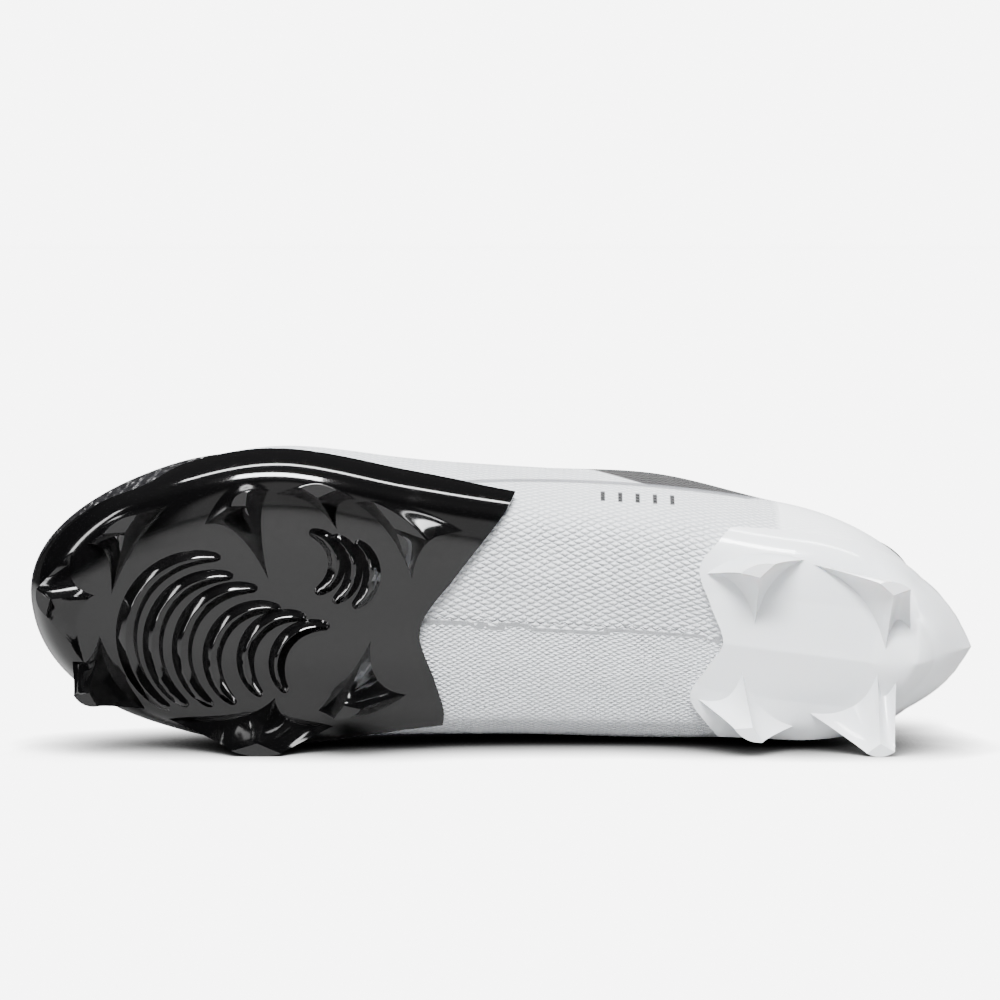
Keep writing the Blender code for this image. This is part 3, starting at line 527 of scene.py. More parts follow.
def knitPaint():
    paint = Paint("whiteKnit")
    along, girth = paint.uv("skin")
    length, seen = paint.uv("plan")
    level, lateral = paint.mask("level"), paint.mask("lateral")
    look = upperLook
    wide, high = look["diamond"]
    sway = paint.noise(22.0, 2.0) - 0.5
    fine = 1 + (1 - lateral) * look["innerFiner"]
    jitter = paint.noise(170.0, 2.0) - 0.5
    a = (along + sway * look["sway"][0] + jitter * look["jitter"][0]) * fine * (math.pi / wide)
    b = (girth + sway * look["sway"][1] + jitter * look["jitter"][1]) * fine * (math.pi / high)
    weave = (a + b).math("COSINE") * (a - b).math("COSINE")
    lumps = weave.math("ABSOLUTE").math("POWER", 0.7)
    thread = ((along + girth * 0.6) * (math.pi / look["thread"])).math("SINE") * 0.5 + 0.5
    cloud = paint.noise(60.0, 4.0, 0.6)
    low = level.below(look["wallTop"], 0.1)
    film = length.below(look["filmEnd"], 0.0015) * level.below(look["filmTop"], 0.3)

    # black comes down over the outer wall behind the instep, above a grey seam
    fromMiddle = length - look["seamMiddle"]
    overSeam = seen - (look["seamTop"] - fromMiddle * fromMiddle * look["seamDrop"])
    taper = (length - look["bandMiddle"]).math("MAXIMUM", 0.0) * look["bandTaper"]
    band = (overSeam - taper).above(0.0, 0.0003) * length.near(look["bandMiddle"], look["bandHalf"], 0.004) * lateral
    black = band.lift(level.above(look["blackFrom"], 0.02) * length.below(look["blackEnd"], 0.0008))
    seam = overSeam.near(0.0, look["seamHalf"], 0.0002) * length.near(*look["seamReach"], 0.002) * lateral * low

    # a plain row of upright bar tacks stands by the collar
    tackWide, tackTall = look["tackHalf"]
    tacks = None
    for spot in look["tacks"]:
        tack = length.near(spot, tackWide, 0.0002) * seen.near(look["tackHeight"], tackTall, 0.0003)
        tacks = tack if tacks is None else tacks.lift(tack)
    tacks = tacks * lateral * low

    # centre seam under the waist: fine zigzag stitches
    beat = (length * (1 / look["stitchStep"])).math("FRACT")
    zig = (beat - 0.5).math("ABSOLUTE") * look["stitchSwing"] - 0.0003
    stitchMiddle, stitchLong = look["stitchReach"]
    stitch = (seen - 0.0002 - zig + (length - stitchMiddle) * look["stitchLean"]).near(0.0, look["stitchHalf"], 0.00014)
    stitch = stitch * length.near(stitchMiddle, stitchLong, 0.0015) * level.below(2.0, 0.2)

    # the knit's lumps keep the white, and the grooves between them get a painted shade colour
    tone = paint.tint(lumps, look["shade"], look["white"])
    tone = paint.tint(cloud * 0.22, tone, look["cloudTone"])
    tone = paint.tint(film * 0.75, tone, look["filmTone"])
    tone = paint.tint(black, tone, look["black"])
    tone = paint.tint(seam * 0.85, tone, look["seamGrey"])
    tone = paint.tint(tacks, tone, look["tackTone"])
    tone = paint.tint(stitch * beat.near(0.5, 0.36, 0.06) * 0.7, tone, look["stitchTone"])
    fibre = paint.noise(520.0, 3.0, 0.7)
    cloth = lumps * (0.55 + cloud * 0.6) + thread * 0.14 + fibre * 0.35
    height = cloth * (1 - film * 0.85) - stitch * 0.5 - seam * 0.6
    return paint.finish(colour=tone, rough=0.82 - film * 0.42 - black * 0.1, normal=paint.bump(height, *look["bump"]),
                        sheen=0.03)


built = gridOf(upperLook, upperShape)
addWall(keepPiece("upperSkin", built, knitPaint(), ("upper",), crisp=70), shoe["wall"])
print("upper is ready")

# moulded plates
# each plate's edge across the sole: share of the ball's width, then share of length
foreEdge = np.array([
    (-0.500, 0.570), (-0.309, 0.555), (-0.190, 0.566), (-0.090, 0.580), (-0.035, 0.585), (0.040, 0.579),
    (0.150, 0.555), (0.300, 0.521), (0.425, 0.492), (0.560, 0.478),
])
heelEdge = np.array([
    (-0.400, 0.235), (-0.316, 0.264), (-0.198, 0.296), (-0.100, 0.282), (0.000, 0.266), (0.120, 0.281),
    (0.240, 0.295), (0.326, 0.275), (0.400, 0.245),
])
# each plate's rim up the wall: share of length, then the level on the outer and on the inner side
foreRim = np.array([
    (0.460, 2.85, 1.80), (0.560, 3.05, 1.95), (0.640, 3.10, 2.30), (0.720, 3.10, 2.85), (0.840, 3.10, 3.05),
    (0.885, 2.60, 3.05), (0.930, 2.75, 3.00), (1.000, 3.05, 3.05),
])
heelRim = np.array([
    (0.030, 3.70, 3.70), (0.080, 3.20, 3.10), (0.150, 2.75, 2.60), (0.220, 2.70, 2.40), (0.300, 2.20, 2.20),
])


def rimLevel(rim, around):
    at = ringPoint(sideRing, around)[..., 0] / shoe["length"]
    return np.where(around >= 0, readColumn(rim, 1, at), readColumn(rim, 2, at))


def plateShape(rim, cut, toe, out, dress=None):
    # share runs from the keel to the rim, and the other way round the foot's end between the plate's own edges
    def shape(u, v):
        shares, which = np.unique(np.round(v, 6), return_inverse=True)
        starts = {}
        for side in (1, -1):
            low, high = np.full(shares.shape, 0.02), np.full(shares.shape, 0.98)
            for _ in range(26):
                middle = (low + high) / 2
                point = surfaceAt(side * middle, shares * rimLevel(rim, side * middle))
                less = point[:, 0] < shoe["length"] * readColumn(cut, 1, point[:, 1] / shoe["ballWidth"])
                low, high = np.where(less, middle, low), np.where(less, high, middle)
            starts[side] = low
        goal = 1.0 if toe else 0.0
        first, second = starts[1][which], starts[-1][which]
        around = np.where(u <= 0.5, first + (goal - first) * u * 2, -(goal + (second - goal) * (u - 0.5) * 2))
        around = np.where((u > 0.5) & (around == 0), -1e-9, around)
        level = v * rimLevel(rim, around)
        points = skinAt(around, level, out)
        if dress:
            points = dress(points, around, level)
        return points, {"level": level}, flatMaps(points, around * 0.3)
    return shape


def shellPiece(name, rim, cut, toe, columns, rows, dress, material, replaced):
    # an outer and an inner sheet, bridged round their edges
    built = newMesh()
    gridPiece(built, columns, rows, plateShape(rim, cut, toe, shoe["gap"] + shoe["plate"], dress))
    gridPiece(built, columns, rows, plateShape(rim, cut, toe, shoe["gap"]))
    bmesh.ops.remove_doubles(built, verts=built.verts, dist=2e-5)
    rims = [edge for edge in built.edges if edge.is_boundary]
    bmesh.ops.bridge_loops(built, edges=rims)
    keepPiece(name, built, material, replaced, closed=True, crisp=34)


plateLook = {
    "black": ((0.0012, 0.0012, 0.0013), (0.004, 0.004, 0.0045)), "blackRough": 0.07, "blackCoat": 0.25,
    "white": ((0.90, 0.91, 0.93), (0.84, 0.86, 0.89)), "whiteRough": 0.16, "whiteCoat": 0.5, "whiteUnder": 0.05,
    "bump": (0.05, 0.0004),
}


def blackPlatePaint():
    paint = Paint("blackGloss")
    scuff = paint.noise(90.0, 6.0, 0.7).above(0.62, 0.06)
    dust = paint.noise(14.0, 4.0, 0.6)
    grain = paint.noise(900.0, 2.0, 0.5)
    tone = paint.tint(dust * 0.3, *plateLook["black"])
    rough = plateLook["blackRough"] + scuff * 0.05 + dust * 0.03
    return paint.finish(colour=tone, rough=rough, coat=plateLook["blackCoat"], coatRough=0.04, spec=0.5,
                        normal=paint.bump(grain * 0.3 + dust * 0.4, *plateLook["bump"]))


def whitePlatePaint():
    paint = Paint("whiteGloss")
    dust = paint.noise(18.0, 4.0, 0.6)
    mottle = paint.noise(70.0, 5.0, 0.6)
    tone = paint.tint(dust * 0.5, *plateLook["white"])
    return paint.finish(colour=tone, rough=plateLook["whiteRough"] + mottle * 0.08, coat=plateLook["whiteCoat"],
                        coatRough=0.06, under=plateLook["whiteUnder"], normal=paint.bump(mottle, *plateLook["bump"]))


blackGloss, whiteGloss = blackPlatePaint(), whitePlatePaint()


def lineDistance(x, y, start, end):
    a, b = np.array(start) / 1000, np.array(end) / 1000
    run = b - a
    t = np.clip(((x - a[0]) * run[0] + (y - a[1]) * run[1]) / (run @ run), 0, 1)
    return np.hypot(x - a[0] - run[0] * t, y - a[1] - run[1] * t)


# creases run from one place to another under the heel, in millimetres, with their height and reach in metres
heelForm = {
    "creases": (
        ((79, 0), (32, -3), 0.0026, 0.016), ((20, -2), (0, 0), 0.0026, 0.014),
        ((21, 27), (20, -2), 0.0022, 0.013), ((20, -2), (28, -26), 0.0022, 0.013),
    ),
    "creaseTop": 3.0, "creaseFade": 0.8,
    # the spur behind the heel: half its width and height, its middle, its tip, and where it starts and is full
    "spurHalf": 0.021, "spurHigh": 0.0155, "spurUp": 0.0290, "spurTip": 0.0003, "spurFrom": 0.05, "spurRun": 0.03,
}


def heelDress(points, around, level):
    points = points.copy()
    for start, end, height, reach in heelForm["creases"]:
        far = lineDistance(points[:, 0], points[:, 1], start, end)
        fade = np.clip((heelForm["creaseTop"] - level) / heelForm["creaseFade"], 0, 1)
        points[:, 2] -= height * np.clip(1 - far / reach, 0, 1) * fade
    across = np.clip(1 - np.abs(points[:, 1]) / heelForm["spurHalf"], 0, 1)
    upDown = np.clip(1 - np.abs(points[:, 2] - heelForm["spurUp"]) / heelForm["spurHigh"], 0, 1)
    back = np.clip((heelForm["spurFrom"] - points[:, 0]) / heelForm["spurRun"], 0, 1)
    points[:, 0] -= (points[:, 0] - heelForm["spurTip"]) * across ** 1.15 * upDown ** 1.1 * back
    return points


shellPiece("forefootShell", foreRim, foreEdge, True, 220, 70, None, blackGloss, ("forefoot_plate",))
shellPiece("heelShell", heelRim, heelEdge, False, 180, 70, heelDress, whiteGloss, ("heel_plate",))
print("plates are ready")

# studs and ribs stand on the plates. A stud has a name, its tip's ends, its fins' ends, its buttress and its foot as
# shares of length and of the ball's width, and how far its tip stays off the ground as a share of the studs' height
foreStuds = (
    ("toe", (0.985, 0.055), (0.974, -0.035), (0.955, 0.145), (0.938, -0.190), (0.932, 0.030), (0.970, 0.015), 1.10),
    ("outerToe", (0.915, 0.269), (0.882, 0.338), (0.930, 0.215), (0.860, 0.345), (0.908, 0.070), (0.906, 0.300), 0.45),
    ("innerToe", (0.940, -0.285), (0.915, -0.318), (0.944, -0.225), (0.878, -0.340), (0.920, -0.130),
     (0.922, -0.300), 0.55),
    ("outerFront", (0.784, 0.395), (0.768, 0.445), (0.808, 0.320), (0.752, 0.430), (0.748, 0.165), (0.785, 0.440), 0.0),
    ("outerBall", (0.714, 0.470), (0.677, 0.468), (0.734, 0.425), (0.664, 0.420), (0.678, 0.335), (0.697, 0.455), 0.0),
    ("outerRear", (0.638, 0.434), (0.582, 0.318), (0.650, 0.395), (0.556, 0.335), (0.596, 0.185), (0.603, 0.400), 0.0),
    ("innerBall", (0.772, -0.428), (0.720, -0.428), (0.828, -0.385), (0.682, -0.370), (0.733, -0.290),
     (0.745, -0.400), 0.0),
    ("innerRear", (0.668, -0.300), (0.640, -0.262), (0.680, -0.300), (0.603, -0.245), (0.636, -0.085),
     (0.642, -0.325), 0.0),
)
heelStuds = (
    ("heelOuterFront", (0.256, 0.266), (0.222, 0.302), (0.280, 0.235), (0.196, 0.290), (0.236, 0.100),
     (0.242, 0.298), 0.0),
    ("heelOuterBack", (0.112, 0.258), (0.080, 0.244), (0.166, 0.275), (0.078, 0.110), (0.098, 0.050),
     (0.098, 0.210), 0.0),
    ("heelInnerFront", (0.252, -0.258), (0.222, -0.300), (0.280, -0.215), (0.196, -0.275), (0.245, -0.118),
     (0.242, -0.280), 0.0),
    ("heelInnerBack", (0.113, -0.316), (0.084, -0.306), (0.160, -0.235), (0.088, -0.125), (0.104, -0.100),
     (0.106, -0.190), 0.0),
)
# each rib is an arc through three places, with its width as a share of the ball's
ribs = (
    ((0.795, 0.197), (0.890, -0.063), (0.841, -0.337), 0.042),
    ((0.781, 0.137), (0.862, -0.092), (0.822, -0.318), 0.040),
    ((0.755, 0.100), (0.831, -0.125), (0.796, -0.310), 0.040),
    ((0.730, 0.037), (0.799, -0.135), (0.772, -0.296), 0.038),
    ((0.703, 0.011), (0.764, -0.145), (0.745, -0.262), 0.036),
    ((0.678, -0.016), (0.731, -0.149), (0.719, -0.245), 0.034),
    ((0.704, 0.300), (0.674, 0.215), (0.695, 0.099), 0.034), ((0.680, 0.290), (0.656, 0.190), (0.676, 0.070), 0.034),
    ((0.656, 0.275), (0.637, 0.175), (0.655, 0.055), 0.034),
)
studForm = {"tipWidth": 0.0026, "nose": 2.2, "flare": 1.35, "spread": 1.28, "columns": 72, "rows": 22, "sink": 0.0012}


def plateMap(rim, cut, toe, dress):
    # the plate's lower face as points that a stud's root can be dropped on
    u, v = np.meshgrid(np.linspace(0, 1, 220), np.linspace(0, 0.85, 90))
    points, _, _ = plateShape(rim, cut, toe, shoe["gap"] + shoe["plate"], dress)(u.ravel(), v.ravel())
    tree = KDTree(len(points))
    for k, point in enumerate(points):
        tree.insert((point[0], point[1], 0), k)
    tree.balance()
    return tree, points


def dropped(plateTree, x, y, sink):
    tree, points = plateTree
    found = []
    for a, b in zip(np.atleast_1d(x), np.atleast_1d(y)):
        near = tree.find_n((a, b, 0), 4)
        weights = np.array([1 / (d + 1e-5) for _, _, d in near])
        height = (points[[k for _, k, _ in near], 2] * weights).sum() / weights.sum()
        spot = np.array([a, b]) if near[0][2] < 0.0016 else points[near[0][1], :2]
        found.append((spot[0], spot[1], height + sink))
    return np.array(found)


def arch(first, control, last, t):
    return first * ((1 - t) ** 2)[:, None] + control * (2 * t * (1 - t))[:, None] + last * (t * t)[:, None]


def loopOf(a, handleA, nose, handleB, b, back, s):
    # three arcs: fin to nose, nose to fin, and the outer back
    s = np.mod(s, 1.0) * 3
    t = s - np.floor(s)
    parts = [arch(a, handleA, nose, t), arch(nose, handleB, b, t), arch(b, back, a, t)]
    return np.where((s < 1)[:, None], parts[0], np.where((s < 2)[:, None], parts[1], parts[2]))


def addStud(built, stud, plateTree):
    scale = np.array([shoe["length"], shoe["ballWidth"]])
    tipA, tipB, finA, finB, buttress, foot = (np.array(p) * scale for p in stud[1:7])
    middle = (tipA + tipB) / 2
    finA, finB, buttress = (middle + (p - middle) * studForm["spread"] for p in (finA, finB, buttress))
    run = unit(tipB - tipA)
    inward = buttress - middle
    inward = unit(inward - run * (inward @ run))
    half = studForm["tipWidth"] / 2

    def shape(u, v):
        top = loopOf(tipA, (tipA + middle) / 2 + inward * half, middle + inward * half * studForm["nose"],
                     (tipB + middle) / 2 + inward * half, tipB, middle - inward * half * 2, u)
        handles = [(fin + buttress) / 2 * 0.40 + middle * 0.60 for fin in (finA, finB)]
        base = loopOf(finA, handles[0], buttress, handles[1], finB, foot * 2 - (finA + finB) / 2, u)
        root = dropped(plateTree, base[:, 0], base[:, 1], studForm["sink"])
        tipZ = stud[7] * shoe["studHeight"]
        share = v[:, None] ** studForm["flare"]
        flat = top + (root[:, :2] - top) * share
        height = tipZ + (root[:, 2] - tipZ) * v
        points = np.concatenate([flat, height[:, None]], 1)
        return points, {"level": v}, flatMaps(points, u * 0.03)

    made = gridPiece(built, studForm["columns"], studForm["rows"], shape)
    bmesh.ops.remove_doubles(built, verts=[v for v in made if v.is_valid], dist=1e-6)


def studsPiece(name, studs, plateTree, material):
    built = newMesh()
    for stud in studs:
        addStud(built, stud, plateTree)
    fillHoles(built)
    keepPiece(name, built, material, (), merge=1e-6, closed=True, crisp=28)


foreTree = plateMap(foreRim, foreEdge, True, None)
heelTree = plateMap(heelRim, heelEdge, False, heelDress)
studsPiece("forefootStuds", foreStuds, foreTree, blackGloss)
studsPiece("heelStuds", heelStuds, heelTree, whiteGloss)
print("studs are ready")

ribForm = {
    "height": 0.0029, "crown": 0.09, "columns": 56, "rows": 8, "end": 0.20, "width": 2.25,
    # shares of the way over the rib, and its height there
    "stops": (0, 0.25, 0.5, 0.75, 1.0), "lift": (-0.3, 0.93, 1.0, 0.93, -0.3),
}


def addRib(built, rib):
    scale = np.array([shoe["length"], shoe["ballWidth"]])
    a, b, c = (np.array(p) * scale for p in rib[:3])
    ab, ac = b - a, c - a
    cross = 2 * (ab[0] * ac[1] - ab[1] * ac[0])
    centre = a + np.array([ac[1] * (ab @ ab) - ab[1] * (ac @ ac), ab[0] * (ac @ ac) - ac[0] * (ab @ ab)]) / cross
    start = math.atan2(*(a - centre)[::-1])
    sweep = math.atan2(*(c - centre)[::-1]) - start
    sweep = (sweep + math.pi) % (2 * math.pi) - math.pi
    radius = np.linalg.norm(a - centre)

    def shape(u, v):
        angle = start + sweep * u
        ray = np.stack([np.cos(angle), np.sin(angle)], -1)
        taper = ribForm["end"] + (1 - ribForm["end"]) * np.sin(np.pi * u) ** 0.45
        half = rib[3] * ribForm["width"] * shoe["ballWidth"] / 2 * taper
        side = np.interp(v, ribForm["stops"], [1.0, ribForm["crown"], 0.0, -ribForm["crown"], -1.0])
        lift = np.interp(v, ribForm["stops"], ribForm["lift"])
        flat = centre + ray * (radius + side * half)[:, None]
        root = dropped(foreTree, flat[:, 0], flat[:, 1], 0.0)
        root[:, 2] -= lift * ribForm["height"] * taper
        return root, {"level": v}, flatMaps(root, u * 0.03)

    gridPiece(built, ribForm["columns"], ribForm["rows"], shape)


built = newMesh()
for rib in ribs:
    addRib(built, rib)
fillHoles(built)
keepPiece("gripRibs", built, blackGloss, (), merge=1e-6, closed=True, crisp=30)
print("ribs are ready")

# toe guard: a thin pebbled overlay over the toe, from the plate's rim upwards
guardRim = np.array([(0.800, 3.50, 3.50), (0.860, 4.10, 4.10), (0.920, 4.70, 4.70), (1.000, 5.20, 5.20)])
guardForm = {
    "start": 0.800, "columns": 150, "rows": 40, "thick": 0.0008, "pebble": 430.0, "under": 0.02,
    "tones": ((0.004, 0.004, 0.0045), (0.014, 0.014, 0.016)), "bump": (1.0, 0.0013),
}


def guardShape(u, v):
    begin = float(aroundAt(guardForm["start"], 3.0, 1))
    turn = begin + (2 - 2 * begin) * u
    around = np.where(turn <= 1, turn, turn - 2)
    low, high = rimLevel(foreRim, around) - guardForm["under"], rimLevel(guardRim, around)
    level = low + (high - low) * v
    points = skinAt(around, level, shoe["gap"] + guardForm["thick"])
    return points, {"level": level}, flatMaps(points, around * 0.3)


def pebblePaint():
    paint = Paint("blackPebble")
    cells = paint.node("ShaderNodeTexVoronoi", {"feature": "SMOOTH_F1"},
                       {"Vector": paint.place(), "Scale": guardForm["pebble"]})
    cloud = paint.noise(80.0, 4.0)
    tone = paint.tint(cloud, *guardForm["tones"])
    return paint.finish(colour=tone, rough=0.24 + cloud * 0.14, coat=0.4, coatRough=0.2,
                        normal=paint.bump(1 - cells * 1.6, *guardForm["bump"]))


built = gridOf(guardForm, guardShape)
addWall(keepPiece("toeGuardSkin", built, pebblePaint(), ("toe_guard",)), guardForm["thick"])
print("toe guard is ready")

# collar: a padded knit lip round the ankle
collarForm = {
    "pad": 0.0042, "proud": 0.0065, "depth": 0.50, "end": 0.25, "taper": 0.11, "seat": 0.0007, "gapIn": 0.0009,
    "reach": 0.5, "columns": 220, "rows": 40,
    # shares of its height and pad round the lip, then of its depth and pad down the lining
    "lip": ((0.05, 0.25), (0.45, 1.00), (0.85, 0.80), (1.00, 0.10), (0.85, -0.75), (0.00, -1.00)),
    "lining": ((0.5, 0.95), (1.0, 0.35), (1.0, 0.0)), "step": 0.019, "tight": 0.38, "rib": 0.0016, "course": 0.0009,
    "tones": ((0.004, 0.004, 0.0045), (0.016, 0.016, 0.018)), "bump": (0.5, 0.0004),
}


def collarShape(u, v):
    around = collarForm["reach"] * (1 - 2 * u)
    edge = surfaceAt(around, topRing)
    run = unit(surfaceAt(around + collarForm["step"], topRing) - surfaceAt(around - collarForm["step"], topRing))
    up = edge - surfaceAt(around, topRing - collarForm["depth"] / 4)
    up = unit(up - run * (up * run).sum(-1, keepdims=True))
    out = np.cross(run, up)
    out *= np.sign((out * outwardAt(around, topRing)).sum(-1, keepdims=True))
    near = np.minimum(u, 1 - u)
    share = (collarForm["end"] + (1 - collarForm["end"]) * np.minimum(1, near / collarForm["taper"]) ** 0.7)[:, None]
    inner = -shoe["wall"] - collarForm["gapIn"]
    corners = [skinAt(around, topRing, inner), edge + up * collarForm["seat"] + out * inner]
    for a, b in collarForm["lip"]:
        rise = collarForm["seat"] + collarForm["proud"] * share * a
        corners.append(edge + up * rise + out * (inner + collarForm["pad"] * share * b))
    for depth, b in collarForm["lining"]:
        level = topRing - collarForm["depth"] * depth
        corners.append(surfaceAt(around, level) + outwardAt(around, level) * (inner - collarForm["pad"] * share * b))
    corners = np.stack(corners)
    count = len(corners)
    place = v * count
    k = np.floor(place).astype(int) % count
    t = (place - np.floor(place))[:, None]
    rowsHere = np.arange(len(u))
    p0, p1, p2, p3 = (corners[(k + n) % count, rowsHere] for n in (-1, 0, 1, 2))
    m1, m2 = (p2 - p0) * collarForm["tight"], (p3 - p1) * collarForm["tight"]
    points = (p1 * (2 * t ** 3 - 3 * t ** 2 + 1) + m1 * (t ** 3 - 2 * t ** 2 + t) + p2 * (-2 * t ** 3 + 3 * t ** 2)
              + m2 * (t ** 3 - t ** 2))
    return points, {"level": v}, flatMaps(points, around * 0.45)


def blackKnitPaint(name, low, high):
    paint = Paint(name)
    along, girth = paint.uv("skin")
    wales = (along * (math.pi / collarForm["rib"])).math("SINE").math("ABSOLUTE")
    courses = ((along + girth) * (math.pi / collarForm["course"])).math("SINE") * 0.5 + 0.5
    fuzz = paint.noise(700.0, 3.0, 0.7)
    cloud = paint.noise(40.0, 3.0)
    height = wales * 0.7 + courses * 0.3 + fuzz * 0.3
    tone = paint.tint(height * 0.5 + cloud * 0.25, low, high)
    return paint.finish(colour=tone, rough=0.86, sheen=0.04, spec=0.25, normal=paint.bump(height, *collarForm["bump"]))


built = gridOf(collarForm, collarShape)
bmesh.ops.remove_doubles(built, verts=built.verts, dist=2e-5)
fillHoles(built)
keepPiece("collarPad", built, blackKnitPaint("blackKnit", *collarForm["tones"]), ("collar",),
          closed=True, crisp=60)
print("collar is ready")

# tongue
tongueForm = {
    "thick": 0.0028, "rise": 0.016, "crown": 0.0022, "free": 0.455, "low": 0.965,
    "columns": 60, "rows": 140, "steps": 7,
    # the free tip, row by row: how far back and up as shares of the rise, and the width
    "tip": ((0.25, 0.03, 0.84), (0.50, 0.30, 0.76), (0.74, 0.64, 0.74), (0.95, 1.00, 0.66)),
    "tuck": (0.15, 0.07, 0.0), "across": 6, "under": 0.00015, "heart": (0.19, 0, 0.03),
    "tones": ((0.005, 0.005, 0.0055), (0.020, 0.020, 0.022)),
}


def tongueRows():
    inner = -shoe["wall"] - shoe["gap"]
    low, steps = tongueForm["low"], tongueForm["steps"]
    free = float(aroundAt(tongueForm["free"], topRing, 1))
    plan = [(low + (free - low) * k / steps, (0, 0), 1.0) for k in range(steps + 1)]
    plan += [(free, (-back, up), width) for back, up, width in tongueForm["tip"]]
    rows = []
    for turn, (back, up), width in plan:
        outer = [skinAt(turn, topRing - d, inner) for d in tongueForm["tuck"]]
        innerSide = [skinAt(-turn, topRing - d, inner) for d in tongueForm["tuck"]]
        one, two = outer[-1], innerSide[-1]
        middle = []
        for n in range(1, tongueForm["across"]):
            k = n / tongueForm["across"]
            middle.append(one + (two - one) * k + np.array([0, 0, tongueForm["crown"] * (1 - (2 * k - 1) ** 2)]))
        row = np.array(outer + middle + innerSide[::-1])
        centre = (one[1] + two[1]) / 2
        row[:, 1] = centre + (row[:, 1] - centre) * width
        rows.append(row + np.array([back, 0, up]) * tongueForm["rise"])
    return np.array(rows)


def tongueShape(u, v):
    rows = tongueRows()
    a, b = v * (rows.shape[0] - 1), u * (rows.shape[1] - 1)
    i, j = np.minimum(a.astype(int), rows.shape[0] - 2), np.minimum(b.astype(int), rows.shape[1] - 2)
    s, t = (a - i)[:, None], (b - j)[:, None]

    def along(jj):
        p = [rows[np.clip(i + n, 0, rows.shape[0] - 1), jj] for n in (-1, 0, 1, 2)]
        return 0.5 * (2 * p[1] + (p[2] - p[0]) * s + (2 * p[0] - 5 * p[1] + 4 * p[2] - p[3]) * s ** 2
                      + (3 * p[1] - p[0] - 3 * p[2] + p[3]) * s ** 3)

    points = along(j) * (1 - t) + along(j + 1) * t
    points[:, 2] -= tongueForm["under"]
    return points, {"level": v}, flatMaps(points, points[:, 1])


built = gridOf(tongueForm, tongueShape)
addWall(keepPiece("tongueKnit", built, blackKnitPaint("tongueKnitBlack", *tongueForm["tones"]), ("tongue",),
                  crisp=60, inside=tongueForm["heart"]), tongueForm["thick"])
print("tongue is ready")

# laces and eyelets
laceForm = {
    "width": 0.0052, "thick": 0.0014, "clear": 0.0008, "crown": 0.0042, "over": 0.94, "overLift": 0.9, "first": 0.012,
    "dip": 0.0026, "dipShare": 0.10, "dipNarrow": 0.35, "columns": 48, "rows": 16, "pairs": 6,
    "from": 0.668, "to": 0.452, "level": 6.74, "braid": 0.0009, "tones": ((0.48, 0.49, 0.51), (0.78, 0.79, 0.80)),
    "bump": (0.5, 0.0003),
}
eyeletForm = {
    "hole": 0.0023, "wire": 0.00055, "beside": 0.0005, "proud": 0.0002, "wireSteps": 10, "steps": 24,
    "tones": ((0.02, 0.02, 0.022), (0.05, 0.05, 0.055)),
}


def eyeletTurns():
    low, high = (float(aroundAt(laceForm[end], topRing, 1)) for end in ("from", "to"))
    return [low + (high - low) * k / (laceForm["pairs"] - 1) for k in range(laceForm["pairs"])]


def addLace(built, start, end, lift, width):
    ends = [skinAt(turn, laceForm["level"], shoe["gap"] + laceForm["clear"] + lift) for turn in (start, end)]
    upright = unit(outwardAt(start, laceForm["level"]) + outwardAt(end, laceForm["level"]))
    run = ends[1] - ends[0]
    side = unit(np.cross(run, upright))

    def shape(u, v):
        s = u[:, None]
        dip = np.clip(1 - np.minimum(u, 1 - u) / laceForm["dipShare"], 0, 1)[:, None] ** 2
        narrow = 1 - laceForm["dipNarrow"] * dip
        rise = laceForm["crown"] * np.sin(np.pi * s) + laceForm["thick"] / 2 - laceForm["dip"] * dip
        middle = ends[0] + run * s + upright * rise
        angle = 2 * np.pi * v[:, None]
        flatSide = np.sign(np.cos(angle)) * np.abs(np.cos(angle)) ** 0.6 * width / 2 * narrow
        flatUp = np.sign(np.sin(angle)) * np.abs(np.sin(angle)) ** 0.8 * laceForm["thick"] / 2
        points = middle + side * flatSide + upright * flatUp
        skin = np.stack([u * np.linalg.norm(run), v * width * 2.2], -1)
        return points, {"level": v}, {"skin": skin, "plan": np.stack([u, v], -1)}

    gridPiece(built, laceForm["columns"], laceForm["rows"], shape)


def lacePaint():
    paint = Paint("whiteLace")
    along, across = paint.uv("skin")
    one = ((along + across) * (math.pi / laceForm["braid"])).math("SINE")
    two = ((along - across) * (math.pi / laceForm["braid"])).math("SINE")
    braid = (one * two).math("ABSOLUTE")
    cloud = paint.noise(120.0, 3.0)
    tone = paint.tint(braid * 0.7 + cloud * 0.2, *laceForm["tones"])
    return paint.finish(colour=tone, rough=0.85, sheen=0.2, normal=paint.bump(braid, *laceForm["bump"]))


built = newMesh()
turns = eyeletTurns()
addLace(built, turns[0] + laceForm["first"], -turns[0] - laceForm["first"], laceForm["thick"] / 4, laceForm["width"])
for low, high in zip(turns, turns[1:]):
    addLace(built, low, -high, 0.0, laceForm["width"])
    addLace(built, high, -low, laceForm["thick"] * laceForm["overLift"], laceForm["width"] * laceForm["over"])
bmesh.ops.remove_doubles(built, verts=built.verts, dist=1e-6)
fillHoles(built)
keepPiece("laceRuns", built, lacePaint(), ("laces",), merge=1e-7, closed=True, crisp=50)


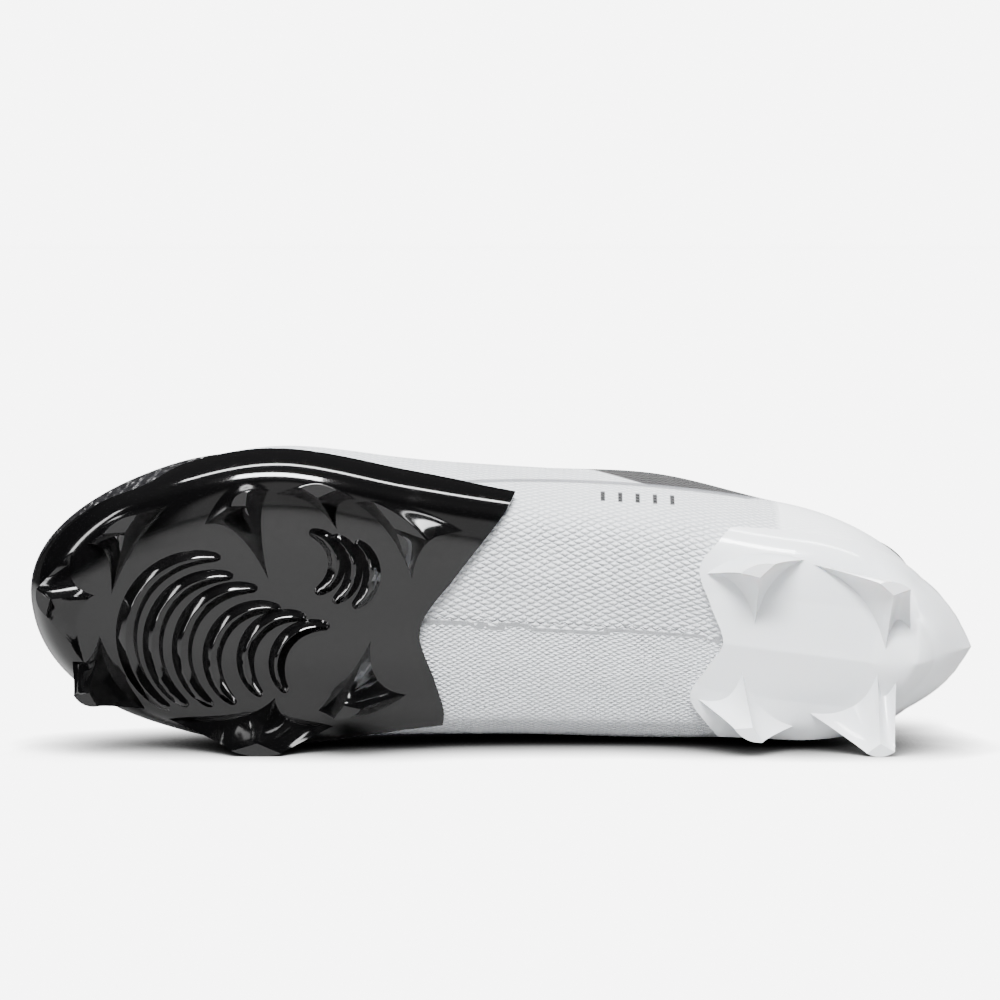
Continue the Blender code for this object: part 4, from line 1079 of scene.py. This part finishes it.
def addEyelet(built, around):
    # a small ring is spun at the origin, then everything joined to it is turned and moved to its place
    start = bmesh.ops.create_circle(
        built, segments=eyeletForm["wireSteps"], radius=eyeletForm["wire"], cap_ends=False)["verts"]
    bmesh.ops.rotate(built, verts=start, cent=(0, 0, 0), matrix=Matrix.Rotation(math.pi / 2, 3, "X"))
    bmesh.ops.translate(built, verts=start, vec=(eyeletForm["hole"] + eyeletForm["beside"], 0, 0))
    edges = list({edge for vert in start for edge in vert.link_edges})
    bmesh.ops.spin(built, geom=start + edges, cent=(0, 0, 0), axis=(0, 0, 1), steps=eyeletForm["steps"],
                   angle=2 * math.pi, use_merge=True)
    ring = {vert for vert in start if vert.is_valid}
    more = ring
    while more:
        more = {edge.other_vert(vert) for vert in more for edge in vert.link_edges} - ring
        ring |= more
    turned = Vector(outwardAt(around, laceForm["level"])).to_track_quat("Z", "Y").to_matrix().to_4x4()
    centre = Vector(skinAt(around, laceForm["level"], eyeletForm["proud"]))
    bmesh.ops.transform(built, matrix=Matrix.Translation(centre) @ turned, verts=list(ring))


def eyeletPaint():
    paint = Paint("eyeletBlack")
    fleck = paint.noise(300.0, 3.0)
    return paint.finish(colour=paint.tint(fleck, *eyeletForm["tones"]), rough=0.4 + fleck * 0.15)


built = newMesh()
for turn in turns:
    for side in (1, -1):
        addEyelet(built, side * turn)
keepPiece("eyeletRings", built, eyeletPaint(), (), merge=1e-7, closed=True, crisp=60)
print("laces are ready")

# insole: the CAD footbed keeps its shape and gets a foam and cloth finish
insoleLook = {"tones": ((0.035, 0.035, 0.038), (0.075, 0.075, 0.08)), "rough": 0.9, "bump": (0.35, 0.0004)}


def footbedPaint():
    paint = Paint("greyFootbed")
    cells = paint.noise(500.0, 3.0, 0.6)
    tone = paint.tint(paint.noise(30.0, 3.0), *insoleLook["tones"])
    return paint.finish(colour=tone, rough=insoleLook["rough"], normal=paint.bump(cells, *insoleLook["bump"]))


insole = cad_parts["insole"]
insole.data.materials.clear()
insole.data.materials.append(footbedPaint())
print("insole is ready")
